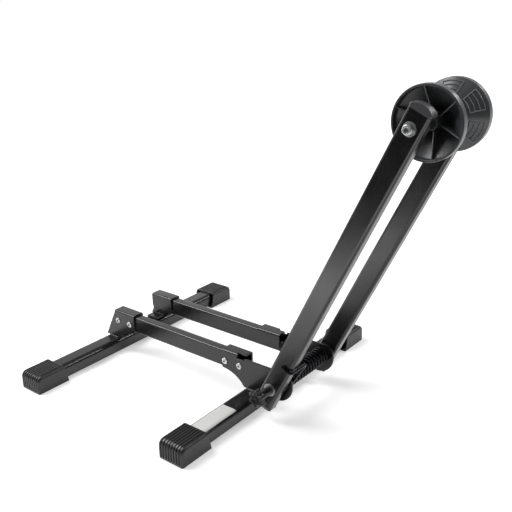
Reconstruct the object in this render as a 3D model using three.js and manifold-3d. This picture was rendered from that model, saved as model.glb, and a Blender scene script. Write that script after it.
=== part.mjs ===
// Floor stand for one bicycle, with a sprung arm that holds the wheel by a grooved roller.
// Millimetres, +Z up, +X along the rails towards the arms, +Y along the feet to the far side.
// Pieces are drawn from the point on the floor midway between the two feet, in the wheel's plane. The
// finished stand is then moved along X, so that its origin lies under the middle of its length.
import * as THREE from 'three';
import { mergeVertices } from 'three/addons/utils/BufferGeometryUtils.js';
import Module from 'manifold-3d';

// ---- Driving dimensions ----------------------------------------------------------------------

const seatGap = 0.3; // clearance between pieces that sit in or on each other

// Feet: two steel tubes across the wheel, with a ribbed plastic cap on each end.
const footSpacing = 272; // between the two centre lines
const footLength = 410; // over the caps
const footWidth = 30;
const footHeight = 20;
const footWall = 1.5;
const footShoulder = 7; // radius of the upper edges
const footEdge = 2.5; // radius of the lower edges
const capWidth = 40;
const capLength = 51; // along the sole
const capRake = 6; // how much shorter the top is than the sole
const capSole = 2.5; // plastic under the tube
const capCrown = 2.7; // plastic over the tube
const capSkin = 2.5; // wall round the open mouth
const capEndWall = 4;
const capMouthDepth = 14; // how far the mouth is hollow before the socket grips the tube
const capShoulder = 4.5;
const capCorner = 3.5; // upright corners of the end face
const capNose = 9; // radius from the top into the end face
const capFootEdge = 1.2;
const capRibPitch = 4.25;
const capGrooves = 8; // grooves between the ribs
const capGrooveWidth = 1.9;
const capGrooveDepth = 1.1;

// Rails: two steel tubes along the wheel.
const wheelGap = 64.6; // clear width between the rails
const railWidth = 14;
const railHeight = 25;
const railWall = 1.5;
const railCorner = 2.6;
const railLift = 18; // underside of the rails above the feet
const railRearSetback = 5; // rear end ahead of the rear foot's centre line
const railFrontSetback = 15; // front end behind the front foot's centre line
const railCope = 12.7; // length of the front end whose top is cut away
const railCopeDepth = 10.3;
const railPlugHead = 2;
const railPlugReach = 12;

// Brackets: sheet steel, one per rail end, standing on the feet.
const sheet = 2.5;
const sheetBend = 3; // outside radius of the bends
const saddleSkirt = 18; // how far the saddle's inner side reaches down from the rail's top
const rearSaddleLength = 42;
const rearBracketFlare = 20; // how far the rear edge slants out at the foot
const rearArchSetback = 16; // front end of the rear arch ahead of the foot's centre line
const frontSaddleBack = 52; // rear edge of the front bracket behind the foot's centre line
const frontSaddleFold = 26; // length of the fold over the rail
const frontSaddleTongue = 12; // how far the saddle runs on past the fold
const reliefWidth = 5.6; // cut at the end of the fold, across
const reliefDepth = 3;
const archSetback = 14.5; // where the arch meets the foot, behind its centre line
const plateReach = 17.8; // front plate ahead of the pivot
const plateNoseRadius = 25; // lower front corner
const plateBrowRadius = 13; // upper front corner
const footFlangeWidth = 16;
const footFlangeLength = 22;

// Rivets: two through each bracket.
const rivetPitch = 25;
const rivetShank = 4.8;
const rivetHead = 9;
const rivetHeadHeight = 1.8;
const rivetDimple = 2.6;
const rearRivetAhead = 24; // middle of the rear pair ahead of the rear foot's centre line
const frontRivetBehind = 34.5; // middle of the front pair behind the front foot's centre line
const rivetBulb = 3; // shank inside the rail

// Pivot: axle, thrust washers and the star knob.
const pivotAhead = 46.2; // ahead of the front foot's centre line
const pivotHeight = 51.5;
const axleDiameter = 8;
const boreClearance = 0.3; // radial, round both axles
const thrustDiameter = 24;
const pivotWasherDiameter = 17;
const washerThickness = 1.2;
const boltHeadFlats = 13; // across flats
const boltHeadHeight = 5.3;
const knobHubDiameter = 11;
const knobHubLength = 19;
const knobDiameter = 24;
const knobThickness = 9;
const knobLobes = 6;
const knobLobeRadius = 3.6;
const axleInKnob = 14;

// Arms: two closed steel tubes that carry the roller.
const armLean = 63.6; // degrees above the floor at rest
const armLength = 382; // pivot to roller axle
const armGap = 109; // clear width between the arms
const armWidth = 26; // seen from the side
const armDepth = 17;
const armWall = 1.5;
const armCorner = 4;
const armPastRoller = 18;
const armPastPivot = 28;
const plugReach = 14;
const plugSide = 3.2; // straight side of an arm plug's head
const plugDome = 4.2;
const plugTaper = 3.2; // slope of the plug's faces over the head

// Roller: two moulded halves on a sleeve.
const rollerDiameter = 78;
const rollerWidth = 73.5;
const rollerGrooveWidth = 57; // between the rims' inner edges
const rollerGrooveBottom = 22; // smallest diameter
const rollerFloor = 4; // width of the groove's bottom
const rollerWall = 2.8;
const rollerRimWall = 2.6;
const rollerHubDiameter = 17;
const rollerHubInset = 7; // hub end behind the rim's face
const rollerWebs = 6;
const rollerWebThickness = 1.4;
const rollerWebSetback = 3.5; // webs' outer ends behind the rim's face
const rollerWebDip = 16; // their inner ends behind the rim's face
const gripArcs = 4; // raised arcs on the groove's walls
const gripPitch = 3.9;
const gripSetback = 3.5; // outermost arc inside the rim
const gripHeight = 1;
const gripWidth = 1.8;
const gripSectorAngle = 37; // degrees covered by one set of arcs
const sleeveDiameter = 12;
const spacerDiameter = 13;
const rollerBoltDiameter = 6;
const rollerWasherDiameter = 14.8;
const socketHeadDiameter = 10.6;
const socketHeadHeight = 5.4;
const socketFlats = 5;
const socketDepth = 3;
const nutFlats = 10;
const nutHeight = 6;
const threadPastNut = 2.5;

// Torsion spring: one wire, hooked on the near arm and plugged into the front foot.
const wireDiameter = 3.6;
const coilDiameter = 25; // outside
const coilPitch = 6;
const coilTurns = 14;
const coilStart = -42; // Y of the near end
const hookHeight = 45; // of the hook, along the arm from the pivot
const hookWrap = 14.6; // how far the wire runs across the arm's outer face
const wireBend = 4;
const anchorHeight = 12.8; // of the hole in the front foot
const anchorReach = 5; // wire inside the foot
const mandrelDiameter = 15;

// ---- Positions that follow from them -----------------------------------------------------------

const footTop = capSole + seatGap + footHeight;
const footX = footSpacing / 2;
const railInner = wheelGap / 2;
const railOuter = railInner + railWidth;
const railBottom = footTop + railLift;
const railTop = railBottom + railHeight;
const railRearX = -footX + railRearSetback;
const railFrontX = footX - railFrontSetback;
const plateInner = railOuter + seatGap;
const plateOuter = plateInner + sheet;
const saddleTop = railTop + seatGap + sheet;
const plateTop = saddleTop - sheetBend - 0.1;
const pivotX = footX + pivotAhead;
const armInner = armGap / 2;
const armOuter = armInner + armDepth;
const armMiddle = armInner + armDepth / 2;
const lean = THREE.MathUtils.degToRad(armLean);
const boreRadius = axleDiameter / 2 + boreClearance;
const rollerBore = rollerBoltDiameter + boreClearance * 2; // diameter of the holes for its bolt
const rivetHeight = (railBottom + railTop) / 2 - 1.3;
const rearEnd = -footX - capWidth / 2;
const frontEnd = pivotX + armLength * Math.cos(lean) + rollerDiameter / 2;

// ---- Solids ------------------------------------------------------------------------------------

const wasm = await Module();
wasm.setup();

function solid(geometry) {
  const bare = geometry.clone();
  bare.deleteAttribute('normal');
  bare.deleteAttribute('uv');
  const merged = mergeVertices(bare, 1e-5);
  return new wasm.Manifold(new wasm.Mesh({
    numProp: 3,
    vertProperties: new Float32Array(merged.attributes.position.array),
    triVerts: new Uint32Array(merged.index.array),
  }));
}

function toGeometry(shape) {
  const { vertProperties, triVerts } = shape.getMesh();
  const geometry = new THREE.BufferGeometry();
  geometry.setAttribute('position', new THREE.BufferAttribute(vertProperties, 3));
  geometry.setIndex(new THREE.BufferAttribute(triVerts, 1));
  return geometry;
}

function joined(...shapes) {
  return shapes.reduce((whole, shape) => whole.add(shape));
}

function placed(geometry, x = 0, y = 0, z = 0) {
  return geometry.translate(x, y, z);
}

// Extrusions of a profile, along X (profile in Y, Z), Y (profile in X, Z) or Z (profile in X, Y).
function extruded(shape, length, segments) {
  return new THREE.ExtrudeGeometry(shape, { depth: length, bevelEnabled: false, curveSegments: segments });
}

function alongX(shape, from, to, segments = 2) {
  const turn = new THREE.Matrix4().makeBasis(
    new THREE.Vector3(0, 1, 0), new THREE.Vector3(0, 0, 1), new THREE.Vector3(1, 0, 0));
  return solid(placed(extruded(shape, to - from, segments).applyMatrix4(turn), from));
}

function alongY(shape, from, to, segments = 2) {
  const turn = new THREE.Matrix4().makeBasis(
    new THREE.Vector3(1, 0, 0), new THREE.Vector3(0, 0, 1), new THREE.Vector3(0, -1, 0));
  return solid(placed(extruded(shape, to - from, segments).applyMatrix4(turn), 0, to));
}

function block(x0, x1, y0, y1, z0, z1) {
  const box = new THREE.BoxGeometry(x1 - x0, y1 - y0, z1 - z0);
  return solid(placed(box, (x0 + x1) / 2, (y0 + y1) / 2, (z0 + z1) / 2));
}

// A cylinder whose axis runs along Y through (x, z).
function rod(diameter, from, to, x = 0, z = 0, sides = 20) {
  const geometry = new THREE.CylinderGeometry(diameter / 2, diameter / 2, to - from, sides);
  return solid(placed(geometry, x, (from + to) / 2, z));
}

// A turned piece about Y, from [radius, y] pairs that end on the axis or close on themselves.
function turned(profile, x = 0, z = 0, sides = 32) {
  const points = profile.map(([radius, y]) => new THREE.Vector2(radius, y));
  if (THREE.ShapeUtils.isClockWise(points)) points.reverse();
  return solid(placed(new THREE.LatheGeometry(points, sides), x, 0, z));
}

function ring(outer, inner, from, to, x = 0, z = 0, sides = 20) {
  return rod(outer, from, to, x, z, sides).subtract(rod(inner, from - 1, to + 1, x, z, sides));
}

// ---- Profiles ----------------------------------------------------------------------------------

function roundedRectangle(width, height, radius, x = 0, y = 0) {
  const shape = new THREE.Shape();
  const right = x + width / 2 - radius;
  const left = x - width / 2 + radius;
  const top = y + height / 2 - radius;
  const bottom = y - height / 2 + radius;
  shape.absarc(right, bottom, radius, -Math.PI / 2, 0);
  shape.absarc(right, top, radius, 0, Math.PI / 2);
  shape.absarc(left, top, radius, Math.PI / 2, Math.PI);
  shape.absarc(left, bottom, radius, Math.PI, Math.PI * 1.5);
  return shape;
}

// A loaf: flat bottom at the given height, small lower radii and large shoulders, centred on zero.
function loaf(width, height, shoulder, edge, bottom) {
  const shape = new THREE.Shape();
  const side = width / 2;
  const top = bottom + height;
  shape.absarc(side - edge, bottom + edge, edge, -Math.PI / 2, 0);
  shape.absarc(side - shoulder, top - shoulder, shoulder, 0, Math.PI / 2);
  shape.absarc(-side + shoulder, top - shoulder, shoulder, Math.PI / 2, Math.PI);
  shape.absarc(-side + edge, bottom + edge, edge, Math.PI, Math.PI * 1.5);
  return shape;
}

function footSection(grow) {
  return loaf(footWidth + 2 * grow, footHeight + 2 * grow, footShoulder + grow, footEdge + grow,
    capSole + seatGap - grow);
}

// ---- Feet --------------------------------------------------------------------------------------

function footTube() {
  const end = footLength / 2 - capEndWall - seatGap;
  return alongY(footSection(0), -end, end).subtract(alongY(footSection(-footWall), -end - 1, end + 1));
}

function frontFootTube() {
  const hole = rod(wireDiameter + 2, 0, footWall * 4, 0, 0, 12).rotate([0, 0, 90]);
  const anchorY = coilStart + coilPitch * coilTurns;
  return footTube().subtract(hole.translate([footWidth / 2 + footWall, anchorY, anchorHeight]));
}

// The outer form of a cap on the near end, drawn in by inset all round: its section, cut to its
// outline from the side and from above.
function capForm(inset) {
  const height = footTop + seatGap + capCrown;
  const half = capWidth / 2 - inset;
  const outer = -footLength / 2 + inset;
  const mouth = -footLength / 2 + capLength;
  const section = loaf(half * 2, height - inset, capShoulder - inset, capFootEdge, 0);
  const side = new THREE.Shape();
  side.moveTo(mouth, 0);
  side.lineTo(mouth - capRake, height);
  side.absarc(outer + capNose, height - inset - capNose, capNose, Math.PI / 2, Math.PI);
  side.absarc(outer + capFootEdge, capFootEdge, capFootEdge, Math.PI, Math.PI * 1.5);
  const above = new THREE.Shape();
  above.moveTo(half, mouth);
  above.lineTo(-half, mouth);
  above.absarc(capCorner - half, outer + capCorner, capCorner, Math.PI, Math.PI * 1.5);
  above.absarc(half - capCorner, outer + capCorner, capCorner, Math.PI * 1.5, Math.PI * 2);
  return alongY(section, outer - 1, mouth)
    .intersect(alongX(side, -capWidth, capWidth))
    .intersect(solid(extruded(above, height, 2)));
}

function footCap() {
  const outer = -footLength / 2;
  const socket = alongY(footSection(seatGap), outer + capEndWall, outer + capLength + 1);
  const mouthSection = loaf(capWidth - 2 * capSkin, footHeight + seatGap * 2,
    capShoulder - capSkin, footEdge, capSole);
  const mouth = alongY(mouthSection, outer + capLength - capMouthDepth, outer + capLength + 1);
  const form = capForm(0);
  const grooves = [];
  for (let index = 0; index < capGrooves; index += 1) {
    const x = (index - (capGrooves - 1) / 2) * capRibPitch;
    grooves.push(block(x - capGrooveWidth / 2, x + capGrooveWidth / 2,
      outer - 1, outer + capLength - capRake - capGrooveWidth, capSole, footTop + capCrown * 2));
  }
  const cuts = joined(...grooves).subtract(capForm(capGrooveDepth));
  return form.subtract(cuts).subtract(socket).subtract(mouth);
}

// ---- Rails -------------------------------------------------------------------------------------

const railMiddleY = -(railInner + railWidth / 2);
const railMiddleZ = (railBottom + railTop) / 2;

// Rivet centres along X, at the rear and at the front.
function rivetPositions(rear) {
  const middle = rear ? -footX + rearRivetAhead : footX - frontRivetBehind;
  return [middle - rivetPitch / 2, middle + rivetPitch / 2];
}

function rivetHoles() {
  const holes = [...rivetPositions(true), ...rivetPositions(false)].map((x) => (
    rod(rivetShank + 2 * boreClearance, -plateOuter - 1, -railOuter + railWall + 1, x, rivetHeight, 12)));
  return joined(...holes);
}

function nearRail() {
  const outside = roundedRectangle(railWidth, railHeight, railCorner, railMiddleY, railMiddleZ);
  const inside = roundedRectangle(railWidth - 2 * railWall, railHeight - 2 * railWall,
    railCorner - railWall, railMiddleY, railMiddleZ);
  const cope = block(railFrontX - railCope, railFrontX + 1, -plateOuter, 0,
    railTop - railCopeDepth, saddleTop);
  return alongX(outside, railRearX, railFrontX)
    .subtract(alongX(inside, railRearX - 1, railFrontX + 1))
    .subtract(cope)
    .subtract(rivetHoles());
}

// The plug's stem leaves room beside it for the rivets' ends.
function railPlug(end, inward) {
  const hollow = railWall + seatGap;
  const head = roundedRectangle(railWidth, railHeight, railCorner, railMiddleY, railMiddleZ);
  const stem = roundedRectangle(railWidth - 2 * hollow - rivetBulb, railHeight - 2 * hollow, 1,
    railMiddleY + rivetBulb / 2, railMiddleZ);
  const from = end - inward * (seatGap + railPlugHead);
  const seat = end - inward * seatGap;
  const tip = end + inward * railPlugReach;
  return alongX(head, Math.min(from, seat), Math.max(from, seat))
    .add(alongX(stem, Math.min(seat, tip), Math.max(seat, tip)));
}

function rearRailPlug() {
  return railPlug(railRearX, 1);
}

// The front plug fills only the part that the cope leaves.
function frontRailPlug() {
  const height = railHeight - railCopeDepth;
  const plug = railPlug(railFrontX, -1);
  const keep = block(railFrontX - railCope, railFrontX + railPlugHead + 1, -railOuter - 1, 0,
    railBottom - 1, railBottom + height - seatGap);
  return plug.intersect(keep);
}

// ---- Brackets ----------------------------------------------------------------------------------

// The sheet bent over the rail: an outer leg that joins the plate, the top, and an inner leg.
function saddleSection() {
  const shape = new THREE.Shape();
  const inside = sheetBend - sheet;
  const innerFace = -railInner + seatGap;
  shape.moveTo(-plateOuter, plateTop - sheet);
  shape.lineTo(-plateInner, plateTop - sheet);
  shape.absarc(-plateInner + inside, saddleTop - sheetBend, inside, Math.PI, Math.PI / 2, true);
  shape.absarc(innerFace - inside, saddleTop - sheetBend, inside, Math.PI / 2, 0, true);
  shape.lineTo(innerFace, railTop - saddleSkirt);
  shape.lineTo(innerFace + sheet, railTop - saddleSkirt);
  shape.absarc(innerFace + sheet - sheetBend, saddleTop - sheetBend, sheetBend, 0, Math.PI / 2);
  shape.absarc(-plateOuter + sheetBend, saddleTop - sheetBend, sheetBend, Math.PI / 2, Math.PI);
  return shape;
}

// The flange that lies on the foot, welded to it.
function footFlange(x) {
  const bottom = footTop + seatGap;
  const half = footFlangeLength / 2;
  return block(x - half, x + half, -plateInner - sheet / 2, -plateInner + footFlangeWidth,
    bottom, bottom + sheet);
}

function nearRearBracket() {
  const bottom = footTop + seatGap;
  const top = plateTop - 0.1;
  const front = railRearX + rearSaddleLength;
  const shape = new THREE.Shape();
  shape.moveTo(railRearX - rearBracketFlare - 2, bottom);
  shape.lineTo(-footX + rearArchSetback, bottom);
  shape.quadraticCurveTo(front - rearSaddleLength / 2, railBottom - 3, front, railBottom - 1);
  shape.lineTo(front, top);
  shape.lineTo(railRearX, top);
  return alongY(shape, -plateOuter, -plateInner, 5)
    .add(alongX(saddleSection(), railRearX, front))
    .add(footFlange(-footX))
    .subtract(rivetHoles());
}

function nearFrontBracket() {
  const bottom = footTop + seatGap;
  const rear = footX - frontSaddleBack;
  const fold = rear + frontSaddleFold;
  const nose = pivotX + plateReach;
  const archFoot = footX - archSetback;
  const shape = new THREE.Shape();
  shape.moveTo(archFoot, bottom);
  shape.absarc(nose - plateNoseRadius, bottom + plateNoseRadius, plateNoseRadius, -Math.PI / 2, 0);
  shape.absarc(nose - plateBrowRadius, plateTop - plateBrowRadius, plateBrowRadius, 0, Math.PI / 2);
  shape.lineTo(rear, plateTop);
  shape.lineTo(rear, railBottom + 0.7);
  shape.quadraticCurveTo(archFoot - 13, railBottom - 0.3, archFoot, bottom);
  const relief = block(fold, fold + frontSaddleTongue + 1, -plateOuter - 1,
    -plateOuter + reliefWidth, plateTop - reliefDepth, saddleTop + 1);
  return alongY(shape, -plateOuter, -plateInner, 4)
    .add(alongX(saddleSection(), rear, fold + frontSaddleTongue))
    .subtract(relief)
    .add(footFlange(footX))
    .subtract(rivetHoles())
    .subtract(rod(boreRadius * 2, -plateOuter - 1, -plateInner + 1, pivotX, pivotHeight));
}

// A blind rivet: shank through bracket and rail wall, domed head with the dimple of its pin.
function rivet(x) {
  const face = -plateOuter - seatGap / 2;
  const head = rivetHead / 2;
  const dimple = rivetDimple / 2;
  const tip = -railOuter + railWall + rivetBulb;
  return turned([
    [0, face - rivetHeadHeight + 0.6],
    [dimple, face - rivetHeadHeight + 0.6],
    [dimple, face - rivetHeadHeight],
    [head * 0.72, face - rivetHeadHeight * 0.75],
    [head, face - 0.4],
    [head, face],
    [rivetShank / 2, face],
    [rivetShank / 2, tip],
    [0, tip],
  ], x, rivetHeight, 12);
}

// ---- Pivot -------------------------------------------------------------------------------------

function hexagon(flats) {
  const radius = flats / Math.sqrt(3);
  const shape = new THREE.Shape();
  for (let corner = 0; corner < 6; corner += 1) {
    const angle = (corner * Math.PI) / 3;
    shape[corner ? 'lineTo' : 'moveTo'](radius * Math.cos(angle), radius * Math.sin(angle));
  }
  return shape;
}

const washerOuter = armOuter + seatGap + washerThickness; // outside of a washer on an arm

function pivotAxle() {
  const near = -(washerOuter + seatGap + axleInKnob);
  const head = washerOuter + seatGap;
  return rod(axleDiameter, near, head + 0.5)
    .add(alongY(hexagon(boltHeadFlats), head, head + boltHeadHeight))
    .translate([pivotX, 0, pivotHeight]);
}

function nearThrustWasher() {
  return ring(thrustDiameter, boreRadius * 2, -armInner + seatGap, -plateOuter - seatGap,
    pivotX, pivotHeight);
}

function nearPivotWasher() {
  return ring(pivotWasherDiameter, boreRadius * 2, -washerOuter, -armOuter - seatGap, pivotX, pivotHeight);
}

function springMandrel() {
  const half = plateInner - seatGap;
  return ring(mandrelDiameter, boreRadius * 2, -half, half, pivotX, pivotHeight);
}

// A star grip: round hub on the axle's thread, and a head with a lobe for each finger.
function starKnob() {
  const hubBack = -(washerOuter + seatGap);
  const headBack = hubBack - knobHubLength;
  const headFront = headBack - knobThickness;
  const lobeCentre = knobDiameter / 2 - knobLobeRadius;
  const lobes = Array.from({ length: knobLobes }, (_, index) => {
    const angle = (index / knobLobes) * Math.PI * 2 + Math.PI / 2;
    return rod(knobLobeRadius * 2, headFront + 1, headBack, lobeCentre * Math.cos(angle),
      lobeCentre * Math.sin(angle), 12);
  });
  const hub = rod(knobHubDiameter, headFront + 2, hubBack);
  return joined(hub, rod(lobeCentre * 2 - 2, headFront, headBack), ...lobes)
    .subtract(rod(boreRadius * 2, hubBack - axleInKnob - 1, hubBack + 1))
    .translate([pivotX, 0, pivotHeight]);
}

// ---- Arms: modelled along X from the pivot, then turned with their group -------------------------

function nearArm() {
  const outside = roundedRectangle(armDepth, armWidth, armCorner, -armMiddle, 0);
  const inside = roundedRectangle(armDepth - 2 * armWall, armWidth - 2 * armWall,
    armCorner - armWall, -armMiddle, 0);
  const end = armLength + armPastRoller;
  return alongX(outside, -armPastPivot, end)
    .subtract(alongX(inside, -armPastPivot - 1, end + 1))
    .subtract(rod(boreRadius * 2, -armOuter - 1, -armInner + 1))
    .subtract(rod(rollerBore, -armOuter - 1, -armInner + 1, armLength));
}

// The plug of an arm's end, drawn from the end of the tube: a domed head and a stem inside the tube.
function armPlug() {
  const half = armWidth / 2;
  const radius = (half * half + plugDome * plugDome) / (2 * plugDome);
  const spread = Math.asin(half / radius);
  const outline = new THREE.Shape();
  outline.moveTo(0, half);
  outline.lineTo(0, -half);
  outline.absarc(plugSide + plugDome - radius, 0, radius, -spread, spread);
  const taper = new THREE.Shape();
  const rise = plugSide + plugDome;
  taper.moveTo(-armMiddle - armDepth / 2, 0);
  taper.lineTo(-armMiddle + armDepth / 2, 0);
  taper.lineTo(-armMiddle + armDepth / 2 - plugTaper, rise + 1);
  taper.lineTo(-armMiddle - armDepth / 2 + plugTaper, rise + 1);
  const lay = new THREE.Matrix4().makeBasis(
    new THREE.Vector3(0, 1, 0), new THREE.Vector3(1, 0, 0), new THREE.Vector3(0, 0, -1));
  const slopes = solid(placed(extruded(taper, armWidth + 2, 1).applyMatrix4(lay), 0, 0, armWidth / 2 + 1));
  const hollow = armWall + seatGap;
  const stem = roundedRectangle(armDepth - 2 * hollow, armWidth - 2 * hollow, 1.5, -armMiddle, 0);
  return alongY(outline, -armOuter, -armInner, 5)
    .intersect(slopes)
    .add(alongX(stem, -plugReach, 0.5));
}

function nearTopPlug() {
  return armPlug().translate([armLength + armPastRoller + seatGap, 0, 0]);
}

function nearBottomPlug() {
  return armPlug().mirror([1, 0, 0]).translate([-armPastPivot - seatGap, 0, 0]);
}

// ---- Roller axle: in the arms' group, at the arm's length -----------------------------------------

function rollerAxle() {
  const head = -(washerOuter + seatGap);
  const nutEnd = washerOuter + seatGap + nutHeight + threadPastNut;
  const radius = socketHeadDiameter / 2;
  const socket = alongY(hexagon(socketFlats), head - socketHeadHeight - 1,
    head - socketHeadHeight + socketDepth);
  return rod(rollerBoltDiameter, head - 0.5, nutEnd)
    .add(turned([
      [0, head],
      [radius, head],
      [radius, head - socketHeadHeight + 1],
      [radius - 1, head - socketHeadHeight],
      [0, head - socketHeadHeight],
    ]))
    .subtract(socket)
    .translate([armLength, 0, 0]);
}

function nearRollerWasher() {
  return ring(rollerWasherDiameter, rollerBore, -washerOuter, -armOuter - seatGap, armLength);
}

function rollerNut() {
  const from = washerOuter + seatGap;
  return alongY(hexagon(nutFlats), from, from + nutHeight)
    .subtract(rod(rollerBore, from - 1, from + nutHeight + 1))
    .translate([armLength, 0, 0]);
}

const rollerHubEnd = rollerWidth / 2 - rollerHubInset;
const rollerSides = 36; // facets round the roller

function nearSpacer() {
  return ring(spacerDiameter, rollerBore, -armInner + seatGap, -rollerHubEnd - seatGap, armLength);
}

function rollerSleeve() {
  return ring(sleeveDiameter, rollerBore, -rollerHubEnd, rollerHubEnd, armLength);
}

// Groove wall: distance from the middle plane at a given radius.
const grooveSlope = (rollerGrooveWidth - rollerFloor) / (rollerDiameter - rollerGrooveBottom);

function grooveDepthAt(radius) {
  return rollerFloor / 2 + (radius - rollerGrooveBottom / 2) * grooveSlope;
}

function gripRing(radius) {
  const along = 1 / Math.hypot(1, grooveSlope);
  const run = (gripWidth / 2) * along;
  const low = [radius - run, grooveDepthAt(radius - run)];
  const high = [radius + run, grooveDepthAt(radius + run)];
  const lift = gripHeight * along;
  const sink = rollerWall * 0.4 * along;
  return turned([
    [low[0] + sink * grooveSlope, -low[1] - sink],
    [high[0] + sink * grooveSlope, -high[1] - sink],
    [high[0] - lift * grooveSlope, -high[1] + lift],
    [low[0] - lift * grooveSlope, -low[1] + lift],
    [low[0] + sink * grooveSlope, -low[1] - sink],
  ], 0, 0, rollerSides);
}

// The near half: a cone that makes the groove, a rim, a hub, webs behind and grip arcs in front.
function rollerHalf() {
  const rim = rollerDiameter / 2;
  const face = rollerWidth / 2;
  const hub = rollerHubDiameter / 2;
  const bore = sleeveDiameter / 2 + boreClearance;
  const behind = rollerWall * Math.hypot(1, grooveSlope);
  const inside = rim - rollerRimWall;
  const body = turned([
    [bore, -seatGap / 2],
    [rollerGrooveBottom / 2, -seatGap / 2],
    [rollerGrooveBottom / 2, -rollerFloor / 2],
    [rim - 0.8, -grooveDepthAt(rim - 0.8)],
    [rim, -grooveDepthAt(rim)],
    [rim, -face + 0.6],
    [rim - 0.6, -face],
    [inside, -face],
    [inside - 0.3, -grooveDepthAt(inside) - behind],
    [hub, -grooveDepthAt(hub) - behind],
    [hub, -rollerHubEnd],
    [bore, -rollerHubEnd],
    [bore, -seatGap / 2],
  ], 0, 0, rollerSides);
  const web = new THREE.Shape();
  web.moveTo(hub - 0.5, -grooveDepthAt(hub) - rollerWall);
  web.lineTo(inside + 0.5, -grooveDepthAt(inside) - rollerWall);
  web.lineTo(inside + 0.5, -face + rollerWebSetback);
  web.lineTo(hub - 0.5, -face + rollerWebDip);
  const flat = solid(extruded(web, rollerWebThickness, 1).translate(0, 0, -rollerWebThickness / 2));
  const sector = new THREE.Shape();
  const reach = rim + 5;
  const half = THREE.MathUtils.degToRad(gripSectorAngle / 2);
  sector.moveTo(0, 0);
  sector.lineTo(reach * Math.cos(half), -reach * Math.sin(half));
  sector.lineTo(reach * Math.cos(half), reach * Math.sin(half));
  const wedge = alongY(sector, -face, 0);
  const turn = 360 / rollerWebs;
  const webs = Array.from({ length: rollerWebs }, (_, index) => flat.rotate([0, index * turn, 0]));
  const wedges = Array.from({ length: rollerWebs }, (_, index) => wedge.rotate([0, (index + 0.5) * turn, 0]));
  const first = rim - gripSetback - (gripArcs - 1) * gripPitch;
  const rings = Array.from({ length: gripArcs }, (_, index) => gripRing(first + index * gripPitch));
  return joined(body, ...webs, joined(...rings).intersect(joined(...wedges)))
    .subtract(rod(bore * 2, -face - 1, 1, 0, 0, rollerSides));
}

// How far each half's webs are turned from the arms' direction, in degrees.
const nearWebTurn = 23.6;
const farWebTurn = 1.1;

function nearRollerHalf() {
  return rollerHalf().rotate([0, nearWebTurn, 0]).translate([armLength, 0, 0]);
}

function farRollerHalf() {
  return rollerHalf().mirror([0, 1, 0]).rotate([0, farWebTurn, 0]).translate([armLength, 0, 0]);
}

// ---- Torsion spring ------------------------------------------------------------------------------

// A point at polar angle phi round the pivot, from the arm's direction towards its front.
function roundPivot(radius, phi, y) {
  const angle = lean - phi;
  return new THREE.Vector3(pivotX + radius * Math.cos(angle), y, pivotHeight + radius * Math.sin(angle));
}

// Points along a chain of straights, with each inner corner rounded by three short steps.
function roundedRun(corners, radius) {
  const points = [corners[0]];
  for (let index = 1; index < corners.length - 1; index += 1) {
    const corner = corners[index];
    const back = corners[index - 1].clone().sub(corner).normalize();
    const ahead = corners[index + 1].clone().sub(corner).normalize();
    const half = back.angleTo(ahead) / 2;
    const reach = radius / Math.tan(half);
    const curve = new THREE.QuadraticBezierCurve3(corner.clone().addScaledVector(back, reach), corner,
      corner.clone().addScaledVector(ahead, reach));
    points.push(...curve.getPoints(4));
  }
  points.push(corners[corners.length - 1]);
  return points;
}

function springPath() {
  const wire = wireDiameter / 2;
  const radius = coilDiameter / 2 - wire;
  const end = coilStart + coilPitch * coilTurns;
  const front = armWidth / 2 + seatGap + wire;
  const outside = -(armOuter + seatGap + wire);
  const armPoint = (along, across, y) => roundPivot(Math.hypot(along, across), Math.atan2(across, along), y);
  const hookPhi = Math.atan2(front, hookHeight);
  const startPhi = hookPhi + Math.acos(radius / Math.hypot(front, hookHeight));
  const footFace = footX + footWidth / 2;
  const knee = new THREE.Vector3(footFace + wireBend + wire, end, anchorHeight);
  const kneeAngle = Math.atan2(knee.z - pivotHeight, knee.x - pivotX);
  const kneeDistance = Math.hypot(knee.z - pivotHeight, knee.x - pivotX);
  const leaveAngle = kneeAngle + Math.acos(radius / kneeDistance);
  const turns = Math.PI * 2;
  const endPhi = startPhi + turns * (coilTurns - 1)
    + THREE.MathUtils.euclideanModulo(lean - leaveAngle - startPhi, turns);
  const near = roundedRun([
    armPoint(hookHeight, front - hookWrap, outside),
    armPoint(hookHeight, front, outside),
    armPoint(hookHeight, front, coilStart),
    roundPivot(radius, startPhi, coilStart),
  ], wireBend);
  const coil = [];
  const steps = 8 * coilTurns;
  for (let step = 1; step < steps; step += 1) {
    const share = step / steps;
    const phi = startPhi + (endPhi - startPhi) * share;
    coil.push(roundPivot(radius, phi, coilStart + (end - coilStart) * share));
  }
  const far = roundedRun([
    roundPivot(radius, endPhi, end),
    knee,
    new THREE.Vector3(footFace - anchorReach, end, anchorHeight),
  ], wireBend);
  return [...near, ...coil, ...far];
}

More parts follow.
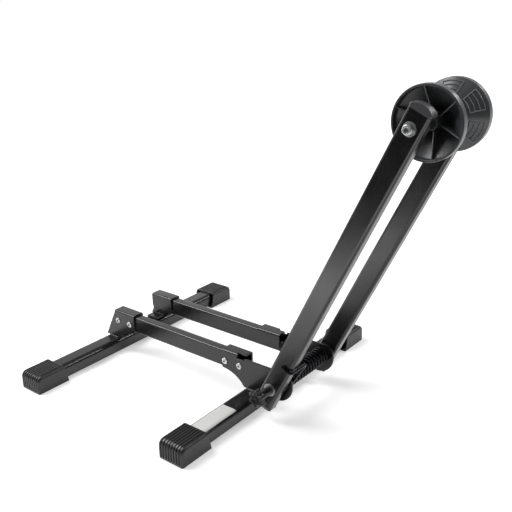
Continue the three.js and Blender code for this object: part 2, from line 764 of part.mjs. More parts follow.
// One unbroken tube along a list of points, with five sides.
function tubeAlong(points, diameter, sides = 5) {
  const tangents = points.map((point, index) => {
    const ahead = points[Math.min(index + 1, points.length - 1)];
    return ahead.clone().sub(points[Math.max(index - 1, 0)]).normalize();
  });
  const positions = [];
  let normal = new THREE.Vector3(0, 0, 1).cross(tangents[0]).normalize();
  points.forEach((point, index) => {
    normal = normal.clone().addScaledVector(tangents[index], -normal.dot(tangents[index])).normalize();
    const side = tangents[index].clone().cross(normal);
    for (let corner = 0; corner < sides; corner += 1) {
      const angle = (corner / sides) * Math.PI * 2;
      const spot = point.clone()
        .addScaledVector(normal, (diameter / 2) * Math.cos(angle))
        .addScaledVector(side, (diameter / 2) * Math.sin(angle));
      positions.push(...spot.toArray());
    }
  });
  const faces = [];
  for (let index = 0; index < points.length - 1; index += 1) {
    for (let corner = 0; corner < sides; corner += 1) {
      const next = (corner + 1) % sides;
      const a = index * sides + corner;
      const b = index * sides + next;
      faces.push(a, b, b + sides, a, b + sides, a + sides);
    }
  }
  const last = (points.length - 1) * sides;
  for (let corner = 1; corner < sides - 1; corner += 1) {
    faces.push(0, corner + 1, corner);
    faces.push(last, last + corner, last + corner + 1);
  }
  const geometry = new THREE.BufferGeometry();
  geometry.setAttribute('position', new THREE.Float32BufferAttribute(positions, 3));
  geometry.setIndex(faces);
  return geometry;
}

// The least gap between stretches of the wire further apart along it than four diameters.
function leastSelfGap(points, diameter) {
  const fine = points.slice(1).flatMap((point, index) => (
    [0, 0.25, 0.5, 0.75].map((share) => points[index].clone().lerp(point, share))));
  const along = [0];
  fine.slice(1).forEach((point, index) => along.push(along[index] + point.distanceTo(fine[index])));
  let least = Infinity;
  fine.forEach((point, index) => {
    for (let other = index + 1; other < fine.length; other += 1) {
      if (along[other] - along[index] > 4 * diameter) {
        least = Math.min(least, point.distanceTo(fine[other]));
      }
    }
  });
  return least - diameter;
}

function torsionSpring() {
  const points = springPath();
  console.log(`torsion_spring: least gap to itself ${leastSelfGap(points, wireDiameter).toFixed(2)} mm`);
  return tubeAlong(points, wireDiameter);
}

// ---- Materials -----------------------------------------------------------------------------------

const powderCoat = () => new THREE.MeshStandardMaterial({ color: 0x1d1d1f, roughness: 0.4, metalness: 0.2 });
const capPlastic = () => new THREE.MeshStandardMaterial({ color: 0x2b2b2c, roughness: 0.6, metalness: 0 });
const rollerPlastic = () => new THREE.MeshStandardMaterial({ color: 0x303133, roughness: 0.5, metalness: 0 });
const zinc = () => new THREE.MeshStandardMaterial({ color: 0xc9cac8, roughness: 0.32, metalness: 1 });
const blackSteel = () => new THREE.MeshStandardMaterial({ color: 0x232325, roughness: 0.35, metalness: 0.7 });
const nylon = () => new THREE.MeshStandardMaterial({ color: 0x3a3a3c, roughness: 0.55, metalness: 0 });

// ---- Assembly ------------------------------------------------------------------------------------

function part(name, shape, material) {
  const mesh = new THREE.Mesh(shape.isBufferGeometry ? shape : toGeometry(shape), material);
  mesh.name = name;
  return mesh;
}

// A near piece and its mirror image on the far side.
function pair(name, shape, material) {
  return [part(`${name}_near`, shape, material()), part(`${name}_far`, shape.mirror([0, 1, 0]), material())];
}

function feet() {
  const group = new THREE.Group();
  const rear = new THREE.Group();
  const front = new THREE.Group();
  rear.position.x = -footX;
  front.position.x = footX;
  rear.add(part('rear_foot_tube', footTube(), powderCoat()), ...pair('rear_foot_cap', footCap(), capPlastic));
  front.add(part('front_foot_tube', frontFootTube(), powderCoat()),
    ...pair('front_foot_cap', footCap(), capPlastic));
  return group.add(rear, front);
}

function rails() {
  const group = new THREE.Group();
  return group.add(
    ...pair('rail', nearRail(), powderCoat),
    ...pair('rear_rail_plug', rearRailPlug(), capPlastic),
    ...pair('front_rail_plug', frontRailPlug(), capPlastic),
  );
}

function brackets() {
  const group = new THREE.Group();
  return group.add(
    ...pair('rear_bracket', nearRearBracket(), powderCoat),
    ...pair('front_bracket', nearFrontBracket(), powderCoat),
    ...rivetPositions(true).flatMap((x, index) => pair(`rear_rivet_${index + 1}`, rivet(x), zinc)),
    ...rivetPositions(false).flatMap((x, index) => pair(`front_rivet_${index + 1}`, rivet(x), zinc)),
  );
}

function pivot() {
  const group = new THREE.Group();
  return group.add(
    part('pivot_axle', pivotAxle(), blackSteel()),
    part('spring_mandrel', springMandrel(), nylon()),
    part('torsion_spring', torsionSpring(), blackSteel()),
    ...pair('thrust_washer', nearThrustWasher(), nylon),
    ...pair('pivot_washer', nearPivotWasher(), zinc),
    part('star_knob', starKnob(), capPlastic()),
  );
}

function arms() {
  const group = new THREE.Group();
  group.position.set(pivotX, 0, pivotHeight);
  group.rotation.y = -lean;
  return group.add(
    ...pair('arm', nearArm(), powderCoat),
    ...pair('arm_top_plug', nearTopPlug(), capPlastic),
    ...pair('arm_bottom_plug', nearBottomPlug(), capPlastic),
    part('roller_axle', rollerAxle(), blackSteel()),
    ...pair('roller_washer', nearRollerWasher(), zinc),
    part('roller_nut', rollerNut(), zinc()),
    ...pair('roller_spacer', nearSpacer(), nylon),
    part('roller_sleeve', rollerSleeve(), nylon()),
    part('roller_half_near', nearRollerHalf(), rollerPlastic()),
    part('roller_half_far', farRollerHalf(), rollerPlastic()),
  );
}

const stand = new THREE.Group();
stand.add(feet(), rails(), brackets(), pivot(), arms());
stand.position.x = -(rearEnd + frontEnd) / 2;

export default stand;
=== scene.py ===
import math

import bmesh
import bpy
from mathutils import Matrix, Vector


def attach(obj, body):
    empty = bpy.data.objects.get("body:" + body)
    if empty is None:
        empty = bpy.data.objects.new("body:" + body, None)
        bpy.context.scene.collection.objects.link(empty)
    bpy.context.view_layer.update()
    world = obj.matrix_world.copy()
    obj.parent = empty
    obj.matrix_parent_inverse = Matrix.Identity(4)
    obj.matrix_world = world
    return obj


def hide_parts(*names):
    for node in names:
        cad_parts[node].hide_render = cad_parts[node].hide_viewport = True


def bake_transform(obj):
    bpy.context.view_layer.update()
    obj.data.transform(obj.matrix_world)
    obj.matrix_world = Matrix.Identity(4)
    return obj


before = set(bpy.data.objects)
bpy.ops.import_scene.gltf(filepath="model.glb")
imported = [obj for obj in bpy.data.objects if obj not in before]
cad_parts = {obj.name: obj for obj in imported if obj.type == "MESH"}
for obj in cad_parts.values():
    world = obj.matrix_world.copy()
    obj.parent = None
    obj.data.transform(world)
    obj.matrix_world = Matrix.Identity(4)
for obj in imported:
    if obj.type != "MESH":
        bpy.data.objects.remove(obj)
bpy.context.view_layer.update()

# ---- Sizes of the real stand, in millimetres ----------------------------------------------------
# Pieces are drawn from the point on the floor midway between the feet. MIDDLE is how far along X
# the middle of the whole stand lies from there, and everything is moved back by it. SEAT is the
# clearance between separate pieces. Round pieces are given by their diameters, apart from the roller
# and the knob's star.

SEAT = 0.3

# Feet, their caps and the label
FOOT_SPACING = 272
FOOT_LENGTH = 410
FOOT_WIDTH = 30
FOOT_HEIGHT = 20
FOOT_WALL = 1.5
FOOT_SHOULDER = 7
FOOT_EDGE = 2.5
CAP_WIDTH = 40
CAP_LENGTH = 51
CAP_RAKE = 6
CAP_SOLE = 2.5
CAP_HEIGHT = 25.8
CAP_SKIN = 2.5
CAP_END_WALL = 4
CAP_MOUTH = 14
CAP_SHOULDER = 4.5
CAP_CORNER = 3.5
CAP_NOSE = 9
CAP_FOOT_EDGE = 1.2
CAP_SOCKET_EDGE = 0.6
RIB_PITCH = 4.25
GROOVES = 8
GROOVE_WIDTH = 1.9
GROOVE_DEPTH = 1.1
GROOVE_SOFT = 0.6
GROOVE_FOOT = 6
LABEL_NEAR = -162
LABEL_FAR = -98
LABEL_REAR = -9.5
LABEL_TURN = 52
LABEL_LIFT = 0.02
LABEL_FILM = 0.14
FOOT_TOP = CAP_SOLE + SEAT + FOOT_HEIGHT
FOOT_X = FOOT_SPACING / 2
FOOT_END = FOOT_LENGTH / 2

# Rails, and the brackets' bent sheet
RAIL_INNER = 32.3
RAIL_WIDTH = 14
RAIL_HEIGHT = 25
RAIL_WALL = 1.5
RAIL_CORNER = 2.6
RAIL_BOTTOM = FOOT_TOP + 18
RAIL_TOP = RAIL_BOTTOM + RAIL_HEIGHT
RAIL_MIDDLE = RAIL_INNER + RAIL_WIDTH / 2
RAIL_REAR = -FOOT_X + 5
RAIL_FRONT = FOOT_X - 15
RAIL_COPE = 12.7
RAIL_COPE_DEPTH = 10.3
RAIL_PLUG_HEAD = 2
RAIL_PLUG_STEM = 12
RAIL_STEM_WIDTH = 7.4
RAIL_STEM_SHIFT = 1.5
PLATE_INNER = RAIL_INNER + RAIL_WIDTH + SEAT
SHEET = 2.5
SHEET_BEND = 3
PLATE_OUTER = PLATE_INNER + SHEET
SADDLE_TOP = RAIL_TOP + SEAT + SHEET
SADDLE_SKIRT = 18
PLATE_TOP = SADDLE_TOP - SHEET_BEND - 0.1
FLANGE_SETBACK = 1.2
FLANGE_REACH = 16
FLANGE_LENGTH = 22
REAR_PLATE_START = RAIL_REAR - 22
REAR_ARCH_START = -FOOT_X + 16
REAR_SHEET_END = RAIL_REAR + 42
FRONT_SHEET_START = FOOT_X - 52
FRONT_SADDLE = 38
FRONT_ARCH_START = FOOT_X - 14.5
NOSE_LOWER = 25
NOSE_UPPER = 13
RELIEF_START = FRONT_SHEET_START + 26
RELIEF_END = FRONT_SHEET_START + 39
RELIEF_WIDTH = 5.6
RELIEF_DROP = 3
WELD_START = -8
WELD_PITCH = 1.4
WELD_RIPPLES = 12
WELD_DROP = (2.2, 1.5, 1.2)

# Rivets
RIVET_PITCH = 25
RIVET_HEAD = 9
RIVET_HEIGHT = 1.8
RIVET_SHANK = 4.8
RIVET_PIN = 3.2
RIVET_Z = RAIL_BOTTOM + RAIL_HEIGHT / 2 - 1.3
REAR_RIVET_X = -FOOT_X + 11.5
FRONT_RIVET_X = FOOT_X - 47

# Pivot and knob
PIVOT_X = FOOT_X + 46.2
PIVOT_Z = 51.5
AXLE = 8
AXLE_FLATS = 13
AXLE_HEAD = 5.3
AXLE_IN_KNOB = 14
BORE = 8.6
NOSE = PIVOT_X + 17.8
MANDREL = 15
THRUST_WASHER = 24
PIVOT_WASHER = 17
KNOB_LOBES = 6
KNOB_WAIST = 9.9
KNOB_WAVE = 2.1
KNOB_HUB = 11
KNOB_HUB_LENGTH = 19
KNOB_THICKNESS = 9
KNOB_STEPS = 120

# Arms, their plugs, and the bolt that the roller turns on. LEAN is the arms' slope at rest.
LEAN = math.radians(63.6)
ARM_LENGTH = 382
ARM_INNER = 54.5
ARM_DEPTH = 17
ARM_WIDTH = 26
ARM_WALL = 1.5
ARM_CORNER = 4
ARM_OUTER = ARM_INNER + ARM_DEPTH
ARM_MIDDLE = ARM_INNER + ARM_DEPTH / 2
ARM_TOP = ARM_LENGTH + 18
ARM_FOOT = -28
PLUG_SIDE = 3.2
PLUG_DOME = 4.2
PLUG_TAPER = 3.2
PLUG_EDGE = 2.2
PLUG_CREST = 1.3
PLUG_CORNER = 1.6
PLUG_BLEND = 2
PLUG_STEM = 14
WASHER = 1.2
WASHER_OUTER = ARM_OUTER + SEAT + WASHER
BOLT = 6
BOLT_BORE = 6.6
BOLT_HEAD = 10.6
BOLT_HEAD_HEIGHT = 5.4
BOLT_SOCKET = 5
BOLT_WASHER = 14.8
NUT_FLATS = 10
NUT_HEIGHT = 6
BOLT_BEYOND = 2.5
THREAD_DEPTH = 0.3
THREAD_PITCH = 1
SLEEVE = 12
SPACER = 13

# Roller: its wall's outline is given by radii. GRIP is the pattern of ribs in its groove, and a rib's
# section is in shares of its half width and its height.
ROLLER_RADIUS = 39
ROLLER_FACE = 36.75
ROLLER_RIM = 28.5
ROLLER_NECK = 11
ROLLER_FLOOR = 2
ROLLER_WALL = 2.8
ROLLER_RIM_WALL = 2.6
ROLLER_BORE = 6.3
ROLLER_HUB = 8.5
ROLLER_HUB_END = 29.75
ROLLER_WEBS = 6
WEB_THICKNESS = 1.4
WEB_SETBACK_AT_RIM = 3.5
WEB_SETBACK_AT_HUB = 16
NEAR_WEB_TURN = math.radians(23.6)
FAR_WEB_TURN = math.radians(1.1)
GRIP_ARCS = 4
GRIP_PITCH = 3.9
GRIP_SETBACK = 3.5
GRIP_HEIGHT = 1.0
GRIP_WIDTH = 1.3
GRIP_ANGLE = math.radians(37)
GRIP_SECTION = ((-1, -0.6), (-0.85, 0.3), (-0.5, 0.8), (0, 1), (0.5, 0.8), (0.85, 0.3), (1, -0.6))

# Spring
WIRE = 3.6
COIL = 25
COIL_PITCH = 6
COIL_TURNS = 14
COIL_POINTS = 28
COIL_START = -42
COIL_END = COIL_START + COIL_PITCH * COIL_TURNS
HOOK_HEIGHT = 45
HOOK_WRAP = 14.6
WIRE_BEND = 4
ANCHOR_HEIGHT = 12.8
ANCHOR_REACH = 5

MIDDLE = (PIVOT_X + ARM_LENGTH * math.cos(LEAN) + ROLLER_RADIUS - FOOT_X - CAP_WIDTH / 2) / 2
HOME = Matrix.Translation((-MIDDLE, 0, 0))
ARMS = HOME @ Matrix.Translation((PIVOT_X, 0, PIVOT_Z)) @ Matrix.Rotation(-LEAN, 4, "Y")
PIVOT = HOME @ Matrix.Translation((PIVOT_X, 0, PIVOT_Z))
ROLLER = ARMS @ Matrix.Translation((ARM_LENGTH, 0, 0))
FAR = Matrix.Scale(-1, 4, (0, 1, 0))
TO_METRES = Matrix.Scale(0.001, 4)


# ---- Outlines in two dimensions -----------------------------------------------------------------

def arc(x, y, radius, start, end, steps=8):
    """Points on an arc, angles in degrees."""
    angles = [math.radians(start + (end - start) * step / steps) for step in range(steps + 1)]
    return [(x + radius * math.cos(angle), y + radius * math.sin(angle)) for angle in angles]


def curve(start, pull, end, steps=14):
    """Points on a bend from start to end that is pulled towards a third point."""
    start, pull, end = Vector(start), Vector(pull), Vector(end)
    shares = [step / steps for step in range(steps + 1)]
    return [start.lerp(pull, share).lerp(pull.lerp(end, share), share) for share in shares]


def rounded(points, steps=3):
    """The polygon of (x, y, radius) corners, each rounded by its own radius."""
    outline = []
    for index, (x, y, radius) in enumerate(points):
        corner = Vector((x, y))
        back = Vector(points[index - 1][:2]) - corner
        ahead = Vector(points[(index + 1) % len(points)][:2]) - corner
        if radius <= 0 or min(back.length, ahead.length) < 1e-6:
            outline.append((x, y))
            continue
        half = back.angle(ahead) / 2
        reach = min(radius / math.tan(half), back.length * 0.49, ahead.length * 0.49)
        start = corner + back.normalized() * reach
        end = corner + ahead.normalized() * reach
        outline += curve(start, corner, end, steps)
    return outline


def loaf(width, height, shoulder, edge, bottom, steps=8):
    """A flat-bottomed outline with small lower and large upper radii."""
    side = width / 2
    top = bottom + height
    return (arc(side - edge, bottom + edge, edge, -90, 0, steps)
            + arc(side - shoulder, top - shoulder, shoulder, 0, 90, steps)
            + arc(shoulder - side, top - shoulder, shoulder, 90, 180, steps)
            + arc(edge - side, bottom + edge, edge, 180, 270, steps))


def box_outline(width, height, corner, x=0, y=0, steps=6):
    """A rectangle with rounded corners, about the point x, y."""
    return [(x + px, y + py) for px, py in loaf(width, height, corner, corner, -height / 2, steps)]


# ---- Meshes -------------------------------------------------------------------------------------

def lofted(rings, endless=False):
    """A skin over rings of as many points each. It ends in flat faces, or joins up with its start."""
    mesh = bmesh.new()
    loops = [[mesh.verts.new(point) for point in ring] for ring in rings]
    size = len(rings[0])
    pairs = list(zip(loops, loops[1:] + loops[:1] if endless else loops[1:]))
    for first, second in pairs:
        for index in range(size):
            after = (index + 1) % size
            mesh.faces.new((first[index], first[after], second[after], second[index]))
    if not endless:
        mesh.faces.new(reversed(loops[0]))
        mesh.faces.new(loops[-1])
    bmesh.ops.remove_doubles(mesh, verts=mesh.verts, dist=1e-5)
    bmesh.ops.recalc_face_normals(mesh, faces=mesh.faces)
    return mesh


def circle(radius, y, steps=48):
    """Points of a circle about the Y axis."""
    angles = [math.tau * step / steps for step in range(steps)]
    return [(radius * math.cos(angle), y, radius * math.sin(angle)) for angle in angles]


def turned(profile, steps=48):
    """A turned piece about Y from (radius, y) points that close on themselves."""
    return lofted([circle(radius, y, steps) for radius, y in profile], endless=True)


def bar_along_x(outline, start, end, soft=0.4):
    """A solid bar along X from a (y, z) outline, with softened ends."""
    sections = ((start, soft), (start + soft, 0), (end - soft, 0), (end, soft))
    return lofted([[(x, *point) for point in scaled(outline, inset)] for x, inset in sections])


def plate_along_y(outline, start, end, soft=0.4):
    """A solid plate along Y from an (x, z) outline, with softened faces."""
    sections = ((start, soft), (start + soft, 0), (end - soft, 0), (end, soft))
    return lofted([[(x, y, z) for x, z in scaled(outline, inset)] for y, inset in sections])


def scaled(outline, inset):
    """The outline drawn in by about the inset, towards its middle."""
    if not inset:
        return outline
    xs = [x for x, _ in outline]
    ys = [y for _, y in outline]
    middle = ((max(xs) + min(xs)) / 2, (max(ys) + min(ys)) / 2)
    wide = 1 - 2 * inset / (max(xs) - min(xs))
    high = 1 - 2 * inset / (max(ys) - min(ys))
    return [(middle[0] + (x - middle[0]) * wide, middle[1] + (y - middle[1]) * high) for x, y in outline]


def tube_along(axis, outer, inner, start, end, soft=0.3):
    """An open tube along "x" or "y", from an outer and an inner outline of as many points."""
    def ring(outline, place):
        return [(place, *point) if axis == "x" else (point[0], place, point[1]) for point in outline]

    return lofted([ring(scaled(outer, soft), start), ring(outer, start + soft), ring(outer, end - soft),
                   ring(scaled(outer, soft), end), ring(inner, end), ring(inner, start)], endless=True)


def swept(points, radius, sides=12):
    """A round wire along a path, with flat ends."""
    rings = []
    normal = None
    for index, point in enumerate(points):
        ahead = points[min(index + 1, len(points) - 1)]
        along = (ahead - points[max(index - 1, 0)]).normalized()
        if normal is None:
            normal = along.orthogonal().normalized()
        normal = (normal - along * normal.dot(along)).normalized()
        side = along.cross(normal)
        angles = [math.tau * step / sides for step in range(sides)]
        rings.append([point + (normal * math.cos(a) + side * math.sin(a)) * radius for a in angles])
    return lofted(rings)


def moved(mesh, matrix):
    """The mesh moved by the matrix, its faces still outwards where the matrix mirrors it."""
    bmesh.ops.transform(mesh, matrix=matrix, verts=mesh.verts)
    if matrix.determinant() < 0:
        bmesh.ops.reverse_faces(mesh, faces=mesh.faces)
    return mesh


def merged(*meshes):
    """One mesh of several, left as they are where they overlap."""
    whole = bmesh.new()
    for mesh in meshes:
        loose = bpy.data.meshes.new("loose")
        mesh.to_mesh(loose)
        mesh.free()
        whole.from_mesh(loose)
        bpy.data.meshes.remove(loose)
    return whole


def marked(mesh, name, share):
    """Writes a number from 0 to 1 on every vertex, worked out from its place, for a finish to read."""
    layer = mesh.verts.layers.float.new(name)
    for vertex in mesh.verts:
        vertex[layer] = min(max(share(vertex.co), 0), 1)
    return mesh


def as_object(name, mesh):
    data = bpy.data.meshes.new(name)
    mesh.to_mesh(data)
    mesh.free()
    thing = bpy.data.objects.new(name, data)
    bpy.context.scene.collection.objects.link(thing)
    return thing


def evaluated(thing):
    """The object's mesh with its modifiers applied. The object itself is removed."""
    bpy.context.view_layer.update()
    graph = bpy.context.evaluated_depsgraph_get()
    data = bpy.data.meshes.new_from_object(thing.evaluated_get(graph))
    result = bmesh.new()
    result.from_mesh(data)
    bpy.data.meshes.remove(data)
    bpy.data.objects.remove(thing)
    return result


def combined(mesh, others, operation):
    """The mesh with the others joined to it or cut from it."""
    thing = as_object("whole", mesh)
    tools = [as_object("tool", other) for other in others]
    for tool in tools:
        step = thing.modifiers.new("step", "BOOLEAN")
        step.operation = operation
        step.solver = "EXACT"
        step.object = tool
    result = evaluated(thing)
    for tool in tools:
        bpy.data.objects.remove(tool)
    bmesh.ops.remove_doubles(result, verts=result.verts, dist=1e-4)
    return result


def carved(mesh, *cutters):
    return combined(mesh, cutters, "DIFFERENCE")


def softened(mesh, width=0.4):
    """The solid with its flat faces made whole and its sheared edges rounded."""
    bmesh.ops.dissolve_limit(mesh, angle_limit=math.radians(1), verts=mesh.verts, edges=mesh.edges)
    thing = as_object("softened", mesh)
    bevel = thing.modifiers.new("edges", "BEVEL")
    bevel.width = width
    bevel.segments = 2
    bevel.limit_method = "ANGLE"
    bevel.angle_limit = math.radians(40)
    return evaluated(thing)


# ---- Repeated pieces ----------------------------------------------------------------------------

def add(tree, kind, inputs=None, **settings):
    """Adds a node, with its settings and with values or other nodes' outputs on its inputs."""
    node = tree.nodes.new(kind)
    for name, value in settings.items():
        setattr(node, name, value)
    for name, value in (inputs or {}).items():
        if isinstance(value, bpy.types.NodeSocket):
            tree.links.new(value, node.inputs[name])
        else:
            node.inputs[name].default_value = value
    return node


def repeat_tree():
    """Copies one piece along a line, and turns each copy about Y by one more step."""
    tree = bpy.data.node_groups.new("repeat a piece", "GeometryNodeTree")
    for name, kind in (("Piece", "NodeSocketObject"), ("Count", "NodeSocketInt"),
                       ("Step", "NodeSocketVector"), ("Turn", "NodeSocketFloat"),
                       ("Finish", "NodeSocketMaterial")):
        tree.interface.new_socket(name, in_out="INPUT", socket_type=kind)
    tree.interface.new_socket("Geometry", in_out="OUTPUT", socket_type="NodeSocketGeometry")
    given = add(tree, "NodeGroupInput").outputs
    places = add(tree, "GeometryNodeMeshLine", {"Count": given["Count"], "Offset": given["Step"]},
                 mode="OFFSET")
    index = add(tree, "GeometryNodeInputIndex")
    angle = add(tree, "ShaderNodeMath", {0: index.outputs[0], 1: given["Turn"]}, operation="MULTIPLY")
    turn = add(tree, "ShaderNodeCombineXYZ", {"Y": angle.outputs[0]})
    piece = add(tree, "GeometryNodeObjectInfo", {"Object": given["Piece"]})
    copies = add(tree, "GeometryNodeInstanceOnPoints", {
        "Points": places.outputs["Mesh"],
        "Instance": piece.outputs["Geometry"],
        "Rotation": turn.outputs[0],
    })
    real = add(tree, "GeometryNodeRealizeInstances", {"Geometry": copies.outputs[0]})
    finished = add(tree, "GeometryNodeSetMaterial", {
        "Geometry": real.outputs[0],
        "Material": given["Finish"],
    })
    add(tree, "NodeGroupOutput", {"Geometry": finished.outputs[0]})
    return tree


REPEAT = repeat_tree()


def repeated(mesh, count, finish, step=(0, 0, 0), turn=0.0):
    """The mesh and its copies, each moved by one more step and turned about Y by one more turn."""
    piece = as_object("one", mesh)
    carrier = as_object("all", bmesh.new())
    nodes = carrier.modifiers.new("repeat", "NODES")
    nodes.node_group = REPEAT
    values = {"Piece": piece, "Count": count, "Step": step, "Turn": turn, "Finish": finish}
    for item in REPEAT.interface.items_tree:
        if item.in_out == "INPUT":
            nodes[item.identifier] = values[item.name]
    result = evaluated(carrier)
    bpy.data.objects.remove(piece)
    return result


# ---- Finishes -----------------------------------------------------------------------------------

def linear(code):
    """Linear colour of an sRGB hex code."""
    parts = [int(code[index:index + 2], 16) / 255 for index in (1, 3, 5)]
    return [part / 12.92 if part <= 0.04045 else ((part + 0.055) / 1.055) ** 2.4 for part in parts] + [1]


def per_mm(size):
    """Noise scale, in cycles per metre of Object coordinates, for a pattern of that many millimetres."""
    return 1000 / size


def finish(name, colour, roughness, metallic=0.0, ior=1.5):
    """A material with its shader set, and the Object coordinates that its patterns use."""
    material = bpy.data.materials.new(name)
    material.use_nodes = True
    tree = material.node_tree
    shader = tree.nodes["Principled BSDF"]
    shader.inputs["Base Color"].default_value = linear(colour)
    shader.inputs["Roughness"].default_value = roughness
    shader.inputs["Metallic"].default_value = metallic
    shader.inputs["IOR"].default_value = ior
    place = add(tree, "ShaderNodeTexCoord").outputs["Object"]
    return material, tree, shader, place


def uneven(tree, shader, place, patch, low, high, grain, height):
    """Varies roughness from low to high over patches, and the surface's height over a finer grain. The
    sizes are in millimetres."""
    cloud = add(tree, "ShaderNodeTexNoise", {"Vector": place, "Scale": per_mm(patch), "Detail": 3.0})
    spread = add(tree, "ShaderNodeMapRange", {
        "Value": cloud.outputs[0],
        "From Min": 0.3,
        "From Max": 0.7,
        "To Min": low,
        "To Max": high,
    })
    tree.links.new(spread.outputs[0], shader.inputs["Roughness"])
    relief = add(tree, "ShaderNodeTexNoise", {"Vector": place, "Scale": per_mm(grain), "Detail": 2.0})
    bump = add(tree, "ShaderNodeBump", {
        "Height": relief.outputs[0],
        "Strength": 1.0,
        "Distance": height / 1000,
    })
    tree.links.new(bump.outputs[0], shader.inputs["Normal"])


def two_tone(tree, shader, name, plain, marked_colour):
    """Goes from one colour to the other with the number that is written on the mesh under the name."""
    number = add(tree, "ShaderNodeAttribute", attribute_name=name)
    colour = add(tree, "ShaderNodeMix", {
        "Factor": number.outputs["Fac"],
        "A": linear(plain),
        "B": linear(marked_colour),
    }, data_type="RGBA")
    tree.links.new(colour.outputs[2], shader.inputs["Base Color"])


def satin_powder_coat():
    """Polyester powder coat, baked on steel: deep black with a satin sheen and a faint orange peel,
    whose waves are about 1.6 mm long and 0.01 mm high."""
    material, tree, shader, place = finish("satin black powder coat", "#151516", 0.24, ior=1.5)
    uneven(tree, shader, place, patch=30, low=0.2, high=0.28, grain=1.6, height=0.01)
    return material


def moulded_cap_plastic():
    """Soft moulded polyethylene: black-grey and dull, with the fine sandblasted grain of its mould.
    The real grain is about 0.2 mm, and is drawn at 0.9 mm so that it shows."""
    material, tree, shader, place = finish("moulded black polyethylene", "#161617", 0.36, ior=1.51)
    uneven(tree, shader, place, patch=12, low=0.32, high=0.41, grain=0.9, height=0.015)
    return material


def moulded_plug_plastic():
    """Polypropylene of the tubes' end plugs, moulded: a greyer black than the caps, with a soft shine.
    Its mould's fine grain is drawn at 1.1 mm so that it shows."""
    material, tree, shader, place = finish("moulded black polypropylene", "#3a3a3d", 0.32, ior=1.49)
    uneven(tree, shader, place, patch=8, low=0.3, high=0.4, grain=1.1, height=0.012)
    return material


def moulded_roller_plastic():
    """Glass-filled nylon: dark grey, smooth from a polished mould, with cloudy flow marks. The crests of
    its ribs are painted paler, a painted highlight where they catch the light."""
    material, tree, shader, place = finish("moulded grey nylon", "#3c3d3f", 0.32, ior=1.53)
    # Painted highlight: the ribs' crests go paler with the number marked on them.
    two_tone(tree, shader, "crest_highlight", "#3c3d3f", "#7b7d80")
    uneven(tree, shader, place, patch=18, low=0.28, high=0.36, grain=2.2, height=0.01)
    return material


def bright_zinc_plate():
    """Bright zinc plate on the rivets' heads: silvery with a faint cloudiness, whose real specks are
    finer than the 0.7 mm drawn. The end of the steel pin in the dimple is painted near black, a painted
    shade for the hole."""
    material, tree, shader, place = finish("bright zinc plate", "#cfd0ce", 0.4, metallic=1.0)
    # Painted shade: the pin's end in the rivet's dimple goes near black with the number marked on it.
    two_tone(tree, shader, "pin", "#cfd0ce", "#161617")
    uneven(tree, shader, place, patch=2.5, low=0.34, high=0.48, grain=0.7, height=0.004)
    return material


def dull_zinc_plate():
    """Plain barrel-plated zinc of screw, nut and washers: grey metal, softly mottled. The scratches of
    the barrel are finer than the 0.8 mm drawn."""
    material, tree, shader, place = finish("dull zinc plate", "#b0b1b1", 0.36, metallic=1.0)
    uneven(tree, shader, place, patch=3, low=0.3, high=0.44, grain=0.8, height=0.004)
    return material


def black_spring_steel():
    """Drawn spring wire and the pivot's bolt, blackened in hot oxide and oiled: dark metal with clear
    glints. The crystals of the oxide are finer than the 0.8 mm drawn."""
    material, tree, shader, place = finish("black oxide steel", "#1d1d20", 0.24, metallic=1.0)
    uneven(tree, shader, place, patch=3, low=0.2, high=0.32, grain=0.8, height=0.004)
    return material


def natural_black_nylon():
    """Turned black nylon of the bushes and washers: plain and slightly waxy."""
    material, tree, shader, place = finish("black nylon", "#1a1a1b", 0.45, ior=1.53)
    uneven(tree, shader, place, patch=6, low=0.4, high=0.5, grain=1.2, height=0.006)
    return material


def blank_label_film():
    """Self-adhesive white polypropylene film with nothing printed on it."""
    material, tree, shader, place = finish("white label film", "#cbcbc9", 0.4, ior=1.49)
    uneven(tree, shader, place, patch=8, low=0.36, high=0.44, grain=3, height=0.004)
    return material


POWDER = satin_powder_coat()
CAP_PLASTIC = moulded_cap_plastic()
PLUG_PLASTIC = moulded_plug_plastic()
ROLLER_PLASTIC = moulded_roller_plastic()
ZINC = bright_zinc_plate()
PLAIN_STEEL = dull_zinc_plate()
BLACK_STEEL = black_spring_steel()
NYLON = natural_black_nylon()
LABEL = blank_label_film()


# ---- Handing pieces to the stand ----------------------------------------------------------------

def shown(name, mesh, material, nodes, smooth=35):
    """Makes the finished object, in metres. Edges are sharp where faces meet steeply, and wide flat
    faces keep their own shading."""
    thing = as_object(name, moved(mesh, TO_METRES))
    thing.data.materials.clear()
    thing.data.materials.append(material)
    faces = thing.data.polygons
    faces.foreach_set("material_index", [0] * len(faces))
    faces.foreach_set("use_smooth", [True] * len(faces))
    thing.data.set_sharp_from_angle(angle=math.radians(smooth))
    weighted = thing.modifiers.new("flat faces", "WEIGHTED_NORMAL")
    weighted.keep_sharp = True
    weighted.weight = 80
    if nodes:
        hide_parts(*nodes)
    return thing


def fixed(name, body, mesh, material, nodes, smooth=35):
    """A finished piece that moves with one body."""
    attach(shown(name, mesh, material, nodes, smooth), body)


def both_sides(name, body, make, place, material, node, smooth=35):
    """The near piece and its mirror image on the far side. node is their name without the side."""
    for side, matrix in (("near", place), ("far", FAR @ place)):
        fixed(f"{name}_{side}", body, moved(make(), matrix), material, [f"{node}_{side}"], smooth)


# ---- Feet ---------------------------------------------------------------------------------------

def foot_outline(grow):
    """The foot's section, in (x, z), made larger all round."""
    return loaf(FOOT_WIDTH + 2 * grow, FOOT_HEIGHT + 2 * grow, FOOT_SHOULDER + grow, FOOT_EDGE + grow,
                CAP_SOLE + SEAT - grow)


def foot_tube():
    """A flat-bottomed tube whose ends lie inside the two caps."""
    end = FOOT_END - CAP_END_WALL - SEAT
    return tube_along("y", foot_outline(0), foot_outline(-FOOT_WALL), -end, end)


